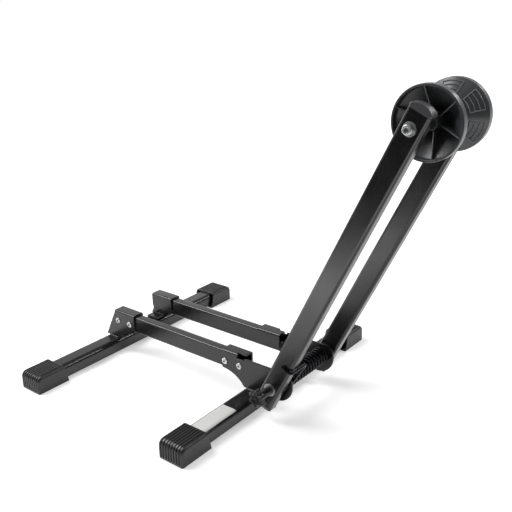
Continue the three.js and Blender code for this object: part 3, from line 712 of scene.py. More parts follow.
def groove_cut(x):
    """How deep the ribbed faces are cut at x. The grooves have soft edges."""
    if abs(x) > RIB_PITCH * GROOVES / 2:
        return 0.0
    off = RIB_PITCH * abs((x / RIB_PITCH + GROOVES / 2) % 1 - 0.5)
    share = min(max(((GROOVE_WIDTH + GROOVE_SOFT) / 2 - off) / GROOVE_SOFT, 0), 1)
    return GROOVE_DEPTH * share * share * (3 - 2 * share)


def cap_columns():
    """Where the cap's outlines are drawn along X: at each groove's soft edges and round the shoulders."""
    edge = GROOVE_WIDTH / 2
    soft = [GROOVE_SOFT * share for share in (-1 / 2, -1 / 6, 1 / 6, 1 / 2)]
    offsets = [off - edge for off in soft] + [0] + [off + edge for off in soft]
    across = [0.0]
    for groove in range(GROOVES // 2):
        across += [(groove + 0.5) * RIB_PITCH + off for off in offsets]
    shoulder = arc(CAP_WIDTH / 2 - CAP_SHOULDER, 0, CAP_SHOULDER, 90, 0, 12)
    across += [x for x, _ in shoulder if x > across[-1] + 0.1]
    return [-x for x in reversed(across)][:-1] + across


def cap_column(x):
    """The cap's outline at one x: from the mouth over the top, down the end and back under the sole.
    Steps of less than 1.5 mm round the edges and the grooves' ends."""
    def fall(radius):
        beyond = max(abs(x) - (CAP_WIDTH / 2 - radius), 0)
        return radius - math.sqrt(max(radius ** 2 - beyond ** 2, 0))

    def mouth(z):
        return -FOOT_END + CAP_LENGTH - CAP_RAKE * z / CAP_HEIGHT

    cut = groove_cut(x)
    drop = fall(CAP_SHOULDER)
    top = CAP_HEIGHT - drop
    end = -FOOT_END + fall(CAP_CORNER)
    sole = fall(CAP_FOOT_EDGE)
    nose = CAP_NOSE - drop
    cut_start = -FOOT_END + CAP_LENGTH - CAP_RAKE - GROOVE_WIDTH
    points = [(mouth(sole), sole), (mouth(top / 2), top / 2), (mouth(top - 0.7), top - 0.7),
              (mouth(top) - 0.2, top - 0.2), (mouth(top) - 0.7, top), (cut_start + 0.2, top),
              (cut_start - 0.1, top - cut * 0.5), (cut_start - 0.4, top - cut)]
    points += arc(end + nose, top - nose, nose - cut, 90, 180, 12)
    points += [(end + cut, GROOVE_FOOT), (end + cut, CAP_SOLE + 0.4), (end + cut * 0.5, CAP_SOLE + 0.1),
               (end, CAP_SOLE - 0.2), (end, sole + 1.2), (end + 0.35, sole + 0.35), (end + 1.2, sole)]
    return [(x, y, z) for y, z in points]


def foot_cap():
    """A moulded cap with lengthwise ribs that run on down its end face, and an open slanted mouth."""
    body = lofted([cap_column(x) for x in cap_columns()])
    mouth = -FOOT_END + CAP_LENGTH
    beyond = mouth + 1
    socket = plate_along_y(foot_outline(SEAT), -FOOT_END + CAP_END_WALL, beyond, CAP_SOCKET_EDGE)
    flare_outline = loaf(CAP_WIDTH - 2 * CAP_SKIN, FOOT_HEIGHT + 2 * SEAT, CAP_SHOULDER - CAP_SKIN,
                         FOOT_EDGE, CAP_SOLE)
    flare = plate_along_y(flare_outline, mouth - CAP_MOUTH, beyond, 0)
    return carved(body, socket, flare)


def blank_label():
    """A bare label on the front foot's top, which just starts to turn down over the upper shoulder."""
    def surface(lift):
        bend = arc(FOOT_WIDTH / 2 - FOOT_SHOULDER, FOOT_TOP - FOOT_SHOULDER, FOOT_SHOULDER + lift,
                   90, LABEL_TURN)
        return [(LABEL_REAR, FOOT_TOP + lift)] + bend

    outline = surface(LABEL_LIFT + LABEL_FILM) + surface(LABEL_LIFT)[::-1]
    return plate_along_y(outline, LABEL_NEAR, LABEL_FAR, 0)


def feet():
    """Both feet with their caps, and the label on the front one."""
    for name, x in (("rear", -FOOT_X), ("front", FOOT_X)):
        place = HOME @ Matrix.Translation((x, 0, 0))
        tube = moved(foot_tube(), place)
        fixed(f"{name}_foot", "base", tube, POWDER, [f"{name}_foot_tube"])
        both_sides(f"{name}_cap", "base", foot_cap, place, CAP_PLASTIC, f"{name}_foot_cap",
                   40)
    label = moved(blank_label(), HOME @ Matrix.Translation((FOOT_X, 0, 0)))
    fixed("label", "base", label, LABEL, [])


# ---- Rails, brackets and rivets -----------------------------------------------------------------

def rail_outline(inset):
    """The near rail's section, in (y, z), made smaller all round."""
    return box_outline(RAIL_WIDTH - 2 * inset, RAIL_HEIGHT - 2 * inset, RAIL_CORNER - inset,
                       -RAIL_MIDDLE, RAIL_BOTTOM + RAIL_HEIGHT / 2)


def rail():
    """A rail's tube. The upper part of its front end is cut away."""
    tube = tube_along("x", rail_outline(0), rail_outline(RAIL_WALL), RAIL_REAR, RAIL_FRONT)
    cut = 40
    outline = box_outline(RAIL_WIDTH + 4, cut, 0.1, -RAIL_MIDDLE, RAIL_TOP - RAIL_COPE_DEPTH + cut / 2)
    return carved(tube, bar_along_x(outline, RAIL_FRONT - RAIL_COPE, RAIL_FRONT + 1, 0))


def rail_plug(height, corner, end, outward):
    """A rail's end plug: a soft head on the tube's end, and a stem that clears the rivets inside."""
    z = RAIL_BOTTOM + height / 2
    face = end + outward * SEAT
    ends = sorted((face, face + outward * RAIL_PLUG_HEAD))
    head = bar_along_x(box_outline(RAIL_WIDTH, height, corner, -RAIL_MIDDLE, z), *ends, 0.7)
    ends = sorted((end + outward * 0.5, end - outward * RAIL_PLUG_STEM))
    stem_height = height - 2 * (RAIL_WALL + SEAT)
    stem_outline = box_outline(RAIL_STEM_WIDTH, stem_height, 1, RAIL_STEM_SHIFT - RAIL_MIDDLE, z)
    return merged(head, bar_along_x(stem_outline, *ends))


def rear_rail_plug():
    return rail_plug(RAIL_HEIGHT, RAIL_CORNER, RAIL_REAR, -1)


def front_rail_plug():
    return rail_plug(RAIL_HEIGHT - RAIL_COPE_DEPTH - SEAT, 2, RAIL_FRONT, 1)


def saddle_outline():
    """The sheet bent over the rail: outer leg, top and inner leg."""
    inside = SHEET_BEND - SHEET
    inner = -RAIL_INNER + SEAT
    bend = SADDLE_TOP - SHEET_BEND
    leg = RAIL_TOP - SADDLE_SKIRT
    return ([(-PLATE_OUTER, PLATE_TOP - SHEET), (-PLATE_INNER, PLATE_TOP - SHEET)]
            + arc(-PLATE_INNER + inside, bend, inside, 180, 90, 4)
            + arc(inner - inside, bend, inside, 90, 0, 4)
            + [(inner, leg), (inner + SHEET, leg)]
            + arc(inner + SHEET - SHEET_BEND, bend, SHEET_BEND, 0, 90)
            + arc(-PLATE_OUTER + SHEET_BEND, bend, SHEET_BEND, 90, 180))


def bracket(plate_outline, start, end, foot, *cutters):
    """A plate beside the rail, the saddle bent over the rail, and the flange on the foot."""
    plate = plate_along_y(plate_outline, -PLATE_OUTER, -PLATE_INNER, 0)
    saddle = bar_along_x(saddle_outline(), start, end, 0)
    bottom = FOOT_TOP + SEAT
    near = -PLATE_OUTER + FLANGE_SETBACK
    far = -PLATE_INNER + FLANGE_REACH
    flange_outline = [(near, bottom), (far, bottom), (far, bottom + SHEET), (near, bottom + SHEET)]
    flange = bar_along_x(flange_outline, foot - FLANGE_LENGTH / 2, foot + FLANGE_LENGTH / 2, 0)
    whole = combined(plate, [saddle, flange], "UNION")
    return softened(carved(whole, *cutters) if cutters else whole)


def rear_bracket():
    """A plate that rises in a curve from the rear foot to the rail's underside."""
    bottom = FOOT_TOP + SEAT
    front = REAR_SHEET_END
    outline = [(REAR_PLATE_START, bottom)]
    outline += curve((REAR_ARCH_START, bottom), (front - 21, RAIL_BOTTOM - 3), (front, RAIL_BOTTOM - 1))
    outline += [(front, PLATE_TOP - 0.1), (RAIL_REAR, PLATE_TOP - 0.1)]
    return bracket(outline, RAIL_REAR, front, -FOOT_X)


def front_bracket():
    """A plate that rises from the front foot, with a round nose in front that carries the pivot. The
    bend of its saddle is cut away in front, beside the rail's end."""
    bottom = FOOT_TOP + SEAT
    rear = FRONT_SHEET_START
    arch = FRONT_ARCH_START
    outline = arc(NOSE - NOSE_LOWER, bottom + NOSE_LOWER, NOSE_LOWER, -90, 0, 16)
    outline += arc(NOSE - NOSE_UPPER, PLATE_TOP - NOSE_UPPER, NOSE_UPPER, 0, 90, 12)
    outline += [(rear, PLATE_TOP)]
    outline += curve((rear, RAIL_BOTTOM + 0.7), (arch - 13, RAIL_BOTTOM - 0.3), (arch, bottom))
    near = -PLATE_OUTER - 1
    far = -PLATE_OUTER + RELIEF_WIDTH
    low = PLATE_TOP - RELIEF_DROP
    high = SADDLE_TOP + 1
    relief = bar_along_x([(near, low), (far, low), (far, high), (near, high)], RELIEF_START, RELIEF_END, 0)
    bore = turned([(0, near), (BORE / 2, near), (BORE / 2, -PLATE_INNER + 1), (0, -PLATE_INNER + 1)], 32)
    bore = moved(bore, Matrix.Translation((PIVOT_X, 0, PIVOT_Z)))
    return bracket(outline, rear, rear + FRONT_SADDLE, FOOT_X, relief, bore)


def rivet():
    """A blind rivet's head: a low dome with a rolled edge, and the end of its pin in a dimple."""
    face = -(PLATE_OUTER + SEAT / 2)
    head = RIVET_HEAD / 2
    pin = RIVET_PIN / 2
    shank = RIVET_SHANK / 2
    crown = face - RIVET_HEIGHT
    profile = [(0, face + 1), (shank, face + 1), (shank, face), (head - 0.2, face), (head, face - 0.2),
               (head, face - 0.45), (head - 0.25, face - 0.75), (head * 0.78, face - 1.25),
               (head * 0.55, face - 1.6), (pin + 0.35, crown), (pin + 0.1, crown + 0.05),
               (pin - 0.1, crown + 0.3), (pin - 0.2, crown + 0.9), (pin - 0.5, crown + 1.05),
               (0, crown + 1.1)]
    # The pin's end is marked for painted shade, which darkens the hole in the head.
    return marked(turned(profile, 32), "pin", lambda place: 5 * (pin - math.hypot(place.x, place.z)))


def rivets():
    """Two rivets through each bracket, on both sides."""
    rows = []
    for x in (REAR_RIVET_X, FRONT_RIVET_X):
        place = HOME @ Matrix.Translation((x, 0, RIVET_Z))
        for side in (place, FAR @ place):
            rows.append(moved(repeated(rivet(), 2, ZINC, (RIVET_PITCH, 0, 0)), side))
    names = [f"{end}_rivet_{index}_{side}" for end in ("rear", "front") for index in (1, 2)
             for side in ("near", "far")]
    fixed("rivets", "base", merged(*rows), ZINC, names, 50)


def weld_ripple():
    """One frozen drop of a weld bead."""
    drop = bmesh.new()
    bmesh.ops.create_icosphere(drop, subdivisions=2, radius=1.0)
    return moved(drop, Matrix.Diagonal((*WELD_DROP, 1)))


def welds():
    """Beads where the bracket plates stand on the feet's flat tops."""
    beads = []
    for x in (-FOOT_X, FOOT_X):
        place = HOME @ Matrix.Translation((x + WELD_START, -PLATE_OUTER, FOOT_TOP + 0.1))
        for side in (place, FAR @ place):
            beads.append(moved(repeated(weld_ripple(), WELD_RIPPLES, POWDER, (WELD_PITCH, 0, 0)), side))
    fixed("weld_beads", "base", merged(*beads), POWDER, [], 60)


def rails_and_brackets():
    """All that joins the two feet."""
    both_sides("rail", "base", rail, HOME, POWDER, "rail")
    for name, make in (("rear_rail_plug", rear_rail_plug), ("front_rail_plug", front_rail_plug)):
        both_sides(name, "base", make, HOME, PLUG_PLASTIC, name)
    both_sides("rear_sheet", "base", rear_bracket, HOME, POWDER, "rear_bracket")
    both_sides("front_sheet", "base", front_bracket, HOME, POWDER, "front_bracket")
    rivets()
    welds()


# ---- Pivot --------------------------------------------------------------------------------------

def round_piece(outer, inner, start, end, soft=0.35):
    """A washer or bush about Y between two radii, with softened edges."""
    corners = ((inner, start), (outer, start), (outer, end), (inner, end))
    return turned(rounded([(radius, y, soft) for radius, y in corners], 2))


def hex_outline(flats, corner=0.5):
    """A hexagon with rounded corners, across its flats."""
    return rounded([(x, y, corner) for x, y in arc(0, 0, flats / math.sqrt(3), 0, 300, 5)])


def hex_piece(flats, start, end):
    """A hexagonal head or nut along Y whose outer corners are chamfered round."""
    body = plate_along_y(hex_outline(flats), start, end, 0.25)
    radius = flats / math.sqrt(3) + 0.1
    outer = flats / 2 - 0.2
    cutter = [(radius + 0.6, end - 1.1), (radius + 0.6, end + 0.5), (outer - 0.8, end + 0.5), (outer, end),
              (radius, end - 1)]
    return carved(body, turned(cutter))


def pivot_axle():
    """The bolt that the arms turn on: its head on the far side, its end inside the knob's hub."""
    near = -(WASHER_OUTER + SEAT + AXLE_IN_KNOB)
    head = WASHER_OUTER + SEAT
    shank = turned(rounded([(0, near, 0), (AXLE / 2, near, 0.5), (AXLE / 2, head + 0.5, 0),
                            (0, head + 0.5, 0)], 2))
    return merged(shank, hex_piece(AXLE_FLATS, head, head + AXLE_HEAD))


def star_outline(scale):
    """A grip's outline: six full lobes with deep round hollows between them."""
    points = []
    for step in range(KNOB_STEPS):
        angle = math.tau * step / KNOB_STEPS
        wave = math.cos(KNOB_LOBES * (angle - math.pi / 2))
        radius = (KNOB_WAIST + KNOB_WAVE * math.copysign(abs(wave) ** 0.7, wave)) * scale
        points.append((radius * math.cos(angle), radius * math.sin(angle)))
    return points


def star_knob():
    """Hub on the axle's thread, and a crowned star grip with softened edges and a round recess."""
    back = -(WASHER_OUTER + SEAT)
    head = back - KNOB_HUB_LENGTH
    front = head - KNOB_THICKNESS
    bore = BORE / 2
    neck = KNOB_HUB / 2
    hub = turned(rounded([(bore, back, 0.2), (neck, back, 0.4), (neck, head + 0.2, 0),
                          (neck + 0.9, head - 1, 0.4), (neck + 0.9, head - 3, 0), (bore, head - 3, 0)], 2))
    crown = ((head, 0.5), (head, 0.9), (head - 0.4, 0.965), (head - 1.2, 1), (front + 2.6, 1),
             (front + 1.4, 0.985), (front + 0.6, 0.94), (front + 0.15, 0.86), (front + 0.1, 0.74))
    recess = ((5.2, front + 0.2), (4.9, front + 1.2), (3.2, front + 1.2), (3, front + 0.5),
              (0.5, front + 0.2))
    rings = [[(x, y, z) for x, z in star_outline(scale)] for y, scale in crown]
    rings += [circle(radius, y, KNOB_STEPS) for radius, y in recess]
    return merged(hub, lofted(rings))


def polar(radius, phi, y):
    """A point round the pivot, at angle phi from the arms' direction towards their front."""
    angle = LEAN - phi
    return Vector((PIVOT_X + radius * math.cos(angle), y, PIVOT_Z + radius * math.sin(angle)))


def bent(corners, radius):
    """A chain of straights whose inner corners are bent to about the radius."""
    points = [corners[0]]
    for before, corner, after in zip(corners, corners[1:], corners[2:]):
        back = (before - corner).normalized()
        ahead = (after - corner).normalized()
        reach = radius / math.tan(back.angle(ahead) / 2)
        points += curve(corner + back * reach, corner, corner + ahead * reach, 8)
    return points + [corners[-1]]


def spring_path():
    """From the hook on the near arm's outer face, down the coil, to the hole in the front foot."""
    wire = WIRE / 2
    radius = COIL / 2 - wire
    front = ARM_WIDTH / 2 + SEAT + wire
    outside = -(ARM_OUTER + SEAT + wire)

    def on_arm(across, y):
        return polar(math.hypot(HOOK_HEIGHT, across), math.atan2(across, HOOK_HEIGHT), y)

    start = math.atan2(front, HOOK_HEIGHT) + math.acos(radius / math.hypot(front, HOOK_HEIGHT))
    face = FOOT_X + FOOT_WIDTH / 2
    knee = Vector((face + WIRE_BEND + wire, COIL_END, ANCHOR_HEIGHT))
    drop = Vector((knee.x - PIVOT_X, knee.z - PIVOT_Z))
    leave = math.atan2(drop.y, drop.x) + math.acos(radius / drop.length)
    end = start + math.tau * (COIL_TURNS - 1) + (LEAN - leave - start) % math.tau
    near = bent([on_arm(front - HOOK_WRAP, outside), on_arm(front, outside), on_arm(front, COIL_START),
                 polar(radius, start, COIL_START)], WIRE_BEND)
    steps = COIL_POINTS * COIL_TURNS
    shares = [step / steps for step in range(1, steps)]
    coil = [polar(radius, start + (end - start) * share, COIL_START + (COIL_END - COIL_START) * share)
            for share in shares]
    anchor = Vector((face - ANCHOR_REACH, COIL_END, ANCHOR_HEIGHT))
    far = bent([polar(radius, end, COIL_END), knee, anchor], WIRE_BEND)
    return near + coil + far


def torsion_spring():
    """The coil, baked in place at rest and given to no body. On the real stand it winds as the arms fold:
    its near end goes with them, and its far end stays with the foot.
    """
    mesh = moved(swept(spring_path(), WIRE / 2), HOME)
    spring = shown("wound_spring", mesh, BLACK_STEEL, ["torsion_spring"], 60)
    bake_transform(spring)


def thrust_washer():
    """The bush between bracket and arm."""
    return round_piece(THRUST_WASHER / 2, BORE / 2, -ARM_INNER + SEAT, -PLATE_OUTER - SEAT)


def pivot_washer():
    """The plain washer outside the arm."""
    return round_piece(PIVOT_WASHER / 2, BORE / 2, -WASHER_OUTER, -ARM_OUTER - SEAT, 0.25)


def pivot():
    """The pivot's bolt, bushes, washers, knob and spring."""
    fixed("pivot_axle_turned", "base", moved(pivot_axle(), PIVOT), BLACK_STEEL, ["pivot_axle"])
    fixed("knob", "knob", moved(star_knob(), PIVOT), CAP_PLASTIC, ["star_knob"], 50)
    half = PLATE_INNER - SEAT
    mandrel = round_piece(MANDREL / 2, BORE / 2, -half, half)
    fixed("mandrel", "base", moved(mandrel, PIVOT), NYLON, ["spring_mandrel"])
    both_sides("thrust_bush", "base", thrust_washer, PIVOT, NYLON, "thrust_washer")
    both_sides("pivot_ring", "base", pivot_washer, PIVOT, PLAIN_STEEL, "pivot_washer")
    torsion_spring()


# ---- Arms ---------------------------------------------------------------------------------------

def arm_outline(inset):
    """The near arm's section, in (y, z), made smaller all round."""
    return box_outline(ARM_DEPTH - 2 * inset, ARM_WIDTH - 2 * inset, ARM_CORNER - inset, -ARM_MIDDLE, 0, 8)


def arm_tube():
    return tube_along("x", arm_outline(0), arm_outline(ARM_WALL), ARM_FOOT, ARM_TOP)


def arm_plug():
    """A plug from the tube's end: a soft head, domed along the arm's width, and a stem in the tube."""
    half = ARM_WIDTH / 2
    rise = PLUG_SIDE + PLUG_DOME
    radius = (half * half + PLUG_DOME * PLUG_DOME) / (2 * PLUG_DOME)
    crest = arc(rise - radius, 0, radius, math.degrees(math.asin(half / radius)), 0, 10)
    corners = [(-0.2, 0, 0), (-0.2, half, 0), (PLUG_SIDE, half, PLUG_EDGE)]
    side = rounded(corners + [(x, z, 0) for x, z in crest[2:-1]], 6)
    rings = []
    for x, z in side[1:]:
        height = max(x, 0)
        over = max(x - (rise - PLUG_CREST), 0)
        soft = PLUG_CREST - math.sqrt(max(PLUG_CREST ** 2 - over ** 2, 0))
        shrink = PLUG_TAPER * height / (rise + 1) + soft
        deep = ARM_DEPTH - 2 * shrink
        corner = ARM_CORNER - (ARM_CORNER - PLUG_CORNER) * min(height / PLUG_BLEND, 1)
        outline = box_outline(deep, 2 * z, min(corner, 0.49 * deep, 0.98 * z), -ARM_MIDDLE, 0, 8)
        rings.append([(x, y, up) for y, up in outline])
    inside = 2 * (ARM_WALL + SEAT)
    stem_outline = box_outline(ARM_DEPTH - inside, ARM_WIDTH - inside, 1.5, -ARM_MIDDLE, 0)
    return merged(lofted(rings), bar_along_x(stem_outline, -PLUG_STEM, 0.5))


def arm_top_plug():
    return moved(arm_plug(), Matrix.Translation((ARM_TOP + SEAT, 0, 0)))


def arm_bottom_plug():
    turn = Matrix.Scale(-1, 4, (1, 0, 0))
    return moved(arm_plug(), Matrix.Translation((ARM_FOOT - SEAT, 0, 0)) @ turn)


def socket_head(head):
    """A round screw head with a hexagonal socket, facing the near side."""
    rim = BOLT_HEAD / 2
    face = head - BOLT_HEAD_HEIGHT
    flats = BOLT_SOCKET / 2

    def six(across, y):
        ring = []
        for x, _, z in circle(across, y):
            turn = (math.atan2(z, x) + math.pi / 6) % (math.pi / 3) - math.pi / 6
            ring.append((x / math.cos(turn), y, z / math.cos(turn)))
        return ring

    return lofted([circle(0, head), circle(rim, head), circle(rim, face + 1.1), circle(rim - 0.2, face + 0.6),
                   circle(rim - 0.6, face + 0.2), circle(rim - 1.1, face), circle(flats + 0.7, face),
                   six(flats + 0.15, face + 0.2), six(flats, face + 0.5), six(flats, face + 2.8),
                   circle(0, face + 3)])


def thread_ridge(radius):
    """One turn of a screw thread, drawn as a plain ring with a sharp crest and sunk into the shank."""
    core = radius - 2 * THREAD_DEPTH
    half = THREAD_PITCH / 2
    profile = [(core, -half, 0), (radius, -0.1, 0.05), (radius, 0.1, 0.05), (core, half, 0)]
    return turned(rounded(profile, 1), 32)


def roller_axle():
    """The screw that the roller turns on, with the thread showing beyond its nut."""
    head = -(WASHER_OUTER + SEAT)
    end = WASHER_OUTER + SEAT + NUT_HEIGHT + BOLT_BEYOND
    core = BOLT / 2 - THREAD_DEPTH
    shank = turned(rounded([(0, head - 1, 0), (core, head - 1, 0), (core, end, 0.5), (0, end, 0)], 2))
    threads = repeated(thread_ridge(BOLT / 2), 3, PLAIN_STEEL, (0, THREAD_PITCH, 0))
    return merged(shank, socket_head(head), moved(threads, Matrix.Translation((0, end - 2.9, 0))))


def roller_nut():
    """The lock nut on the far side."""
    start = WASHER_OUTER + SEAT
    nut = hex_piece(NUT_FLATS, start, start + NUT_HEIGHT)
    bore = turned([(0, start - 1), (BOLT_BORE / 2, start - 1), (BOLT_BORE / 2, start + 8), (0, start + 8)])
    return carved(nut, bore)


def roller_spacer():
    """The bush between arm and roller."""
    return round_piece(SPACER / 2, BOLT_BORE / 2, -ARM_INNER + SEAT, -ROLLER_HUB_END - SEAT)


def roller_washer():
    """The washer under the screw's head, and the one under its nut."""
    return round_piece(BOLT_WASHER / 2, BOLT_BORE / 2, -WASHER_OUTER, -ARM_OUTER - SEAT, 0.25)


def arms():
    """Both arms with their plugs, and the fixed pieces that the roller turns on."""
    both_sides("arm_tube", "arms", arm_tube, ARMS, POWDER, "arm")
    both_sides("arm_top", "arms", arm_top_plug, ARMS, PLUG_PLASTIC, "arm_top_plug", 40)
    both_sides("arm_bottom", "arms", arm_bottom_plug, ARMS, PLUG_PLASTIC, "arm_bottom_plug",
               40)
    fixed("roller_bolt", "arms", moved(roller_axle(), ROLLER), PLAIN_STEEL, ["roller_axle"])
    fixed("lock_nut", "arms", moved(roller_nut(), ROLLER), PLAIN_STEEL, ["roller_nut"])
    sleeve = round_piece(SLEEVE / 2, BOLT_BORE / 2, -ROLLER_HUB_END, ROLLER_HUB_END)
    fixed("sleeve", "arms", moved(sleeve, ROLLER), NYLON, ["roller_sleeve"])
    both_sides("spacer", "arms", roller_spacer, ROLLER, NYLON, "roller_spacer")
    both_sides("bolt_washer", "arms", roller_washer, ROLLER, PLAIN_STEEL, "roller_washer")


# ---- Roller -------------------------------------------------------------------------------------

GROOVE_SLOPE = (ROLLER_RIM - ROLLER_FLOOR) / (ROLLER_RADIUS - ROLLER_NECK)


def groove_depth(radius):
    """How far the groove's wall lies from the middle plane at a radius."""
    return ROLLER_FLOOR + (radius - ROLLER_NECK) * GROOVE_SLOPE


def roller_body():
    """A moulded half: groove wall, rolled rim and hub, open behind."""
    rim = ROLLER_RADIUS
    face = -ROLLER_FACE
    inside = rim - ROLLER_RIM_WALL
    behind = ROLLER_WALL * math.hypot(1, GROOVE_SLOPE)
    profile = rounded([
        (ROLLER_BORE, -SEAT / 2, 0), (ROLLER_NECK, -SEAT / 2, 0.3), (ROLLER_NECK, -ROLLER_FLOOR, 0.8),
        (rim, -groove_depth(rim), 1.2), (rim, face, 1.1), (inside, face, 0.9),
        (inside - 0.4, -groove_depth(inside) - behind, 1.2),
        (ROLLER_HUB, -groove_depth(ROLLER_HUB) - behind, 1.5),
        (ROLLER_HUB, -ROLLER_HUB_END, 0.6), (ROLLER_BORE, -ROLLER_HUB_END, 0.4)], 4)
    return turned(profile, 96)


def roller_web():
    """One stiffening web in the hollow behind the groove wall."""
    inside = ROLLER_RADIUS - ROLLER_RIM_WALL
    root = ROLLER_HUB - 0.5
    tip = inside + 0.3
    outline = [(root, -groove_depth(ROLLER_HUB) - ROLLER_WALL), (tip, -groove_depth(inside) - ROLLER_WALL),
               (tip, -ROLLER_FACE + WEB_SETBACK_AT_RIM), (root, -ROLLER_FACE + WEB_SETBACK_AT_HUB)]
    half = WEB_THICKNESS / 2
    soft = 0.25
    sections = ((-half, soft), (soft - half, 0), (half - soft, 0), (half, soft))
    return lofted([[(x, y, z) for x, y in scaled(outline, inset)] for z, inset in sections])


GROOVE_ALONG = Vector((1, -GROOVE_SLOPE)).normalized()
GROOVE_OUT = Vector((GROOVE_SLOPE, 1)).normalized()


def rib_ring(radius, angle, size, along_arc):
    """The section of a raised rib on the groove's wall: half sunk in it, with a narrow flat crest."""
    ring = []
    for side, rise in GRIP_SECTION:
        height = GRIP_HEIGHT * (rise * size if rise > 0 else rise)
        off = side * GRIP_WIDTH / 2
        spot = Vector((radius, -groove_depth(radius))) + GROOVE_OUT * height
        if along_arc:
            spot += GROOVE_ALONG * off
        turn = angle if along_arc else angle + off / radius
        ring.append((spot.x * math.cos(turn), spot.y, spot.x * math.sin(turn)))
    return ring


def grip_set():
    """The arcs of one sector, one inside the other, and the two ribs that close their ends."""
    def rise(place):
        height = place.y + groove_depth(math.hypot(place.x, place.z))
        return height / math.hypot(1, GROOVE_SLOPE) / GRIP_HEIGHT

    last = ROLLER_RADIUS - GRIP_SETBACK
    first = last - (GRIP_ARCS - 1) * GRIP_PITCH
    angles = [GRIP_ANGLE * (step / 14 - 0.5) for step in range(15)]
    pieces = []
    for index in range(GRIP_ARCS):
        radius = first + index * GRIP_PITCH
        pieces.append(lofted([rib_ring(radius, angle, 1, True) for angle in angles]))
    radii = [first - 0.3] + [first + (last - first) * step / 6 for step in range(1, 6)] + [last + 0.3]
    for angle in (angles[0], angles[-1]):
        pieces.append(lofted([rib_ring(radius, angle, 0.96, False) for radius in radii]))
    # Each rib is marked by its height, so its crest is painted paler as a painted highlight.
    whole = marked(merged(*pieces), "crest_highlight", rise)
    return moved(whole, Matrix.Rotation(math.pi / ROLLER_WEBS, 4, "Y"))


def roller_half():
    """A finished half of the roller, with its webs and its sectors of ribs."""
    step = math.tau / ROLLER_WEBS
    webs = repeated(roller_web(), ROLLER_WEBS, ROLLER_PLASTIC, turn=step)
    grips = repeated(grip_set(), ROLLER_WEBS, ROLLER_PLASTIC, turn=step)
    return merged(roller_body(), webs, grips)


def roller():
    """Both halves, each turned to where its webs stand at rest."""
    near = Matrix.Rotation(NEAR_WEB_TURN, 4, "Y")
    far = Matrix.Rotation(FAR_WEB_TURN, 4, "Y") @ FAR
    for side, turn in (("near", near), ("far", far)):
        half = moved(roller_half(), ROLLER @ turn)
        fixed(f"roller_{side}", "roller", half, ROLLER_PLASTIC, [f"roller_half_{side}"], 40)


# ---- Studio -------------------------------------------------------------------------------------
# Places are in metres. A pair is where a change of brightness begins and where it ends. A brightness
# of 1 is white.

FLOOR_GLOW = 0.42
FLOOR_FAR = (0.5, 1.3)
HOT_SPOT = 2.0
HOT_SPOT_Y = (-0.22, -0.5)
PAPER_END_Y = (-0.5, -0.85)
AMBIENT = 0.28
DARK_ROOM = 0.28
SWEEP = 0.7
SWEEP_WAY = (-0.77, 0.64, 0.0)
SWEEP_SIDE = (-0.15, 0.6)
SWEEP_TOP = (0.62, 0.44)

IMAGE_WIDTH = 512
FOCAL_LENGTH = 713.27
CAMERA_ANGLES = (38.52, 20.29, -1.05)
CAMERA_PLACE = (0.537675, -0.6887, 0.5172)
LAMPS_AIM = (0, 0, 0.15)


def rays_to_backdrop(tree):
    """1 for the rays that see the backdrop in a reflection or through glass, otherwise 0."""
    rays = add(tree, "ShaderNodeLightPath").outputs
    return add(tree, "ShaderNodeMath", {0: rays["Is Glossy Ray"], 1: rays["Is Transmission Ray"]},
               operation="MAXIMUM").outputs[0]


def studio_floor():
    """A white sweep of paper that keeps the shadow. The camera sees it white all over. In reflections it
    is brightest in front of the near side, and ends a little further on, where the room is dark."""
    mesh = bmesh.new()
    bmesh.ops.create_grid(mesh, x_segments=1, y_segments=1, size=120)
    floor = as_object("floor", moved(mesh, Matrix.Translation((0, 0, -0.0002))))
    paper = bpy.data.materials.new("white paper sweep")
    paper.use_nodes = True
    tree = paper.node_tree
    shader = tree.nodes["Principled BSDF"]
    shader.inputs["Roughness"].default_value = 0.9
    shader.inputs["Specular IOR Level"].default_value = 0.0
    shader.inputs["Emission Color"].default_value = (1, 1, 1, 1)
    place = add(tree, "ShaderNodeTexCoord").outputs["Object"]
    along = add(tree, "ShaderNodeSeparateXYZ", {0: place})
    dark = add(tree, "ShaderNodeMapRange", {
        "Value": along.outputs["Y"],
        "From Min": PAPER_END_Y[0],
        "From Max": PAPER_END_Y[1],
    }, interpolation_type="SMOOTHSTEP")
    hot = add(tree, "ShaderNodeMapRange", {
        "Value": along.outputs["Y"],
        "From Min": HOT_SPOT_Y[0],
        "From Max": HOT_SPOT_Y[1],
        "To Max": HOT_SPOT,
    }, interpolation_type="SMOOTHSTEP")
    away = add(tree, "ShaderNodeVectorMath", {0: place}, operation="LENGTH")
    far = add(tree, "ShaderNodeMapRange", {
        "Value": away.outputs["Value"],
        "From Min": FLOOR_FAR[0],
        "From Max": FLOOR_FAR[1],
        "To Min": FLOOR_GLOW,
    })
    reflected = rays_to_backdrop(tree)
    unlit = add(tree, "ShaderNodeMath", {0: dark.outputs[0], 1: reflected}, operation="MULTIPLY")
    colour = add(tree, "ShaderNodeMix", {
        "Factor": unlit.outputs[0],
        "A": linear("#e2e2e2"),
        "B": linear("#202020"),
    }, data_type="RGBA")
    tree.links.new(colour.outputs[2], shader.inputs["Base Color"])
    rays = add(tree, "ShaderNodeLightPath").outputs
    seen = add(tree, "ShaderNodeMath", {0: rays["Is Camera Ray"], 1: reflected}, operation="MAXIMUM")
    glow = add(tree, "ShaderNodeMath", {0: seen.outputs[0], 1: far.outputs[0]}, operation="MULTIPLY")
    spot = add(tree, "ShaderNodeMath", {0: reflected, 1: hot.outputs[0], 2: glow.outputs[0]},
               operation="MULTIPLY_ADD")
    rest = add(tree, "ShaderNodeMath", {0: 1.0, 1: unlit.outputs[0]}, operation="SUBTRACT")
    lit = add(tree, "ShaderNodeMath", {0: spot.outputs[0], 1: rest.outputs[0]}, operation="MULTIPLY")
    tree.links.new(lit.outputs[0], shader.inputs["Emission Strength"])
    floor.data.materials.append(paper)


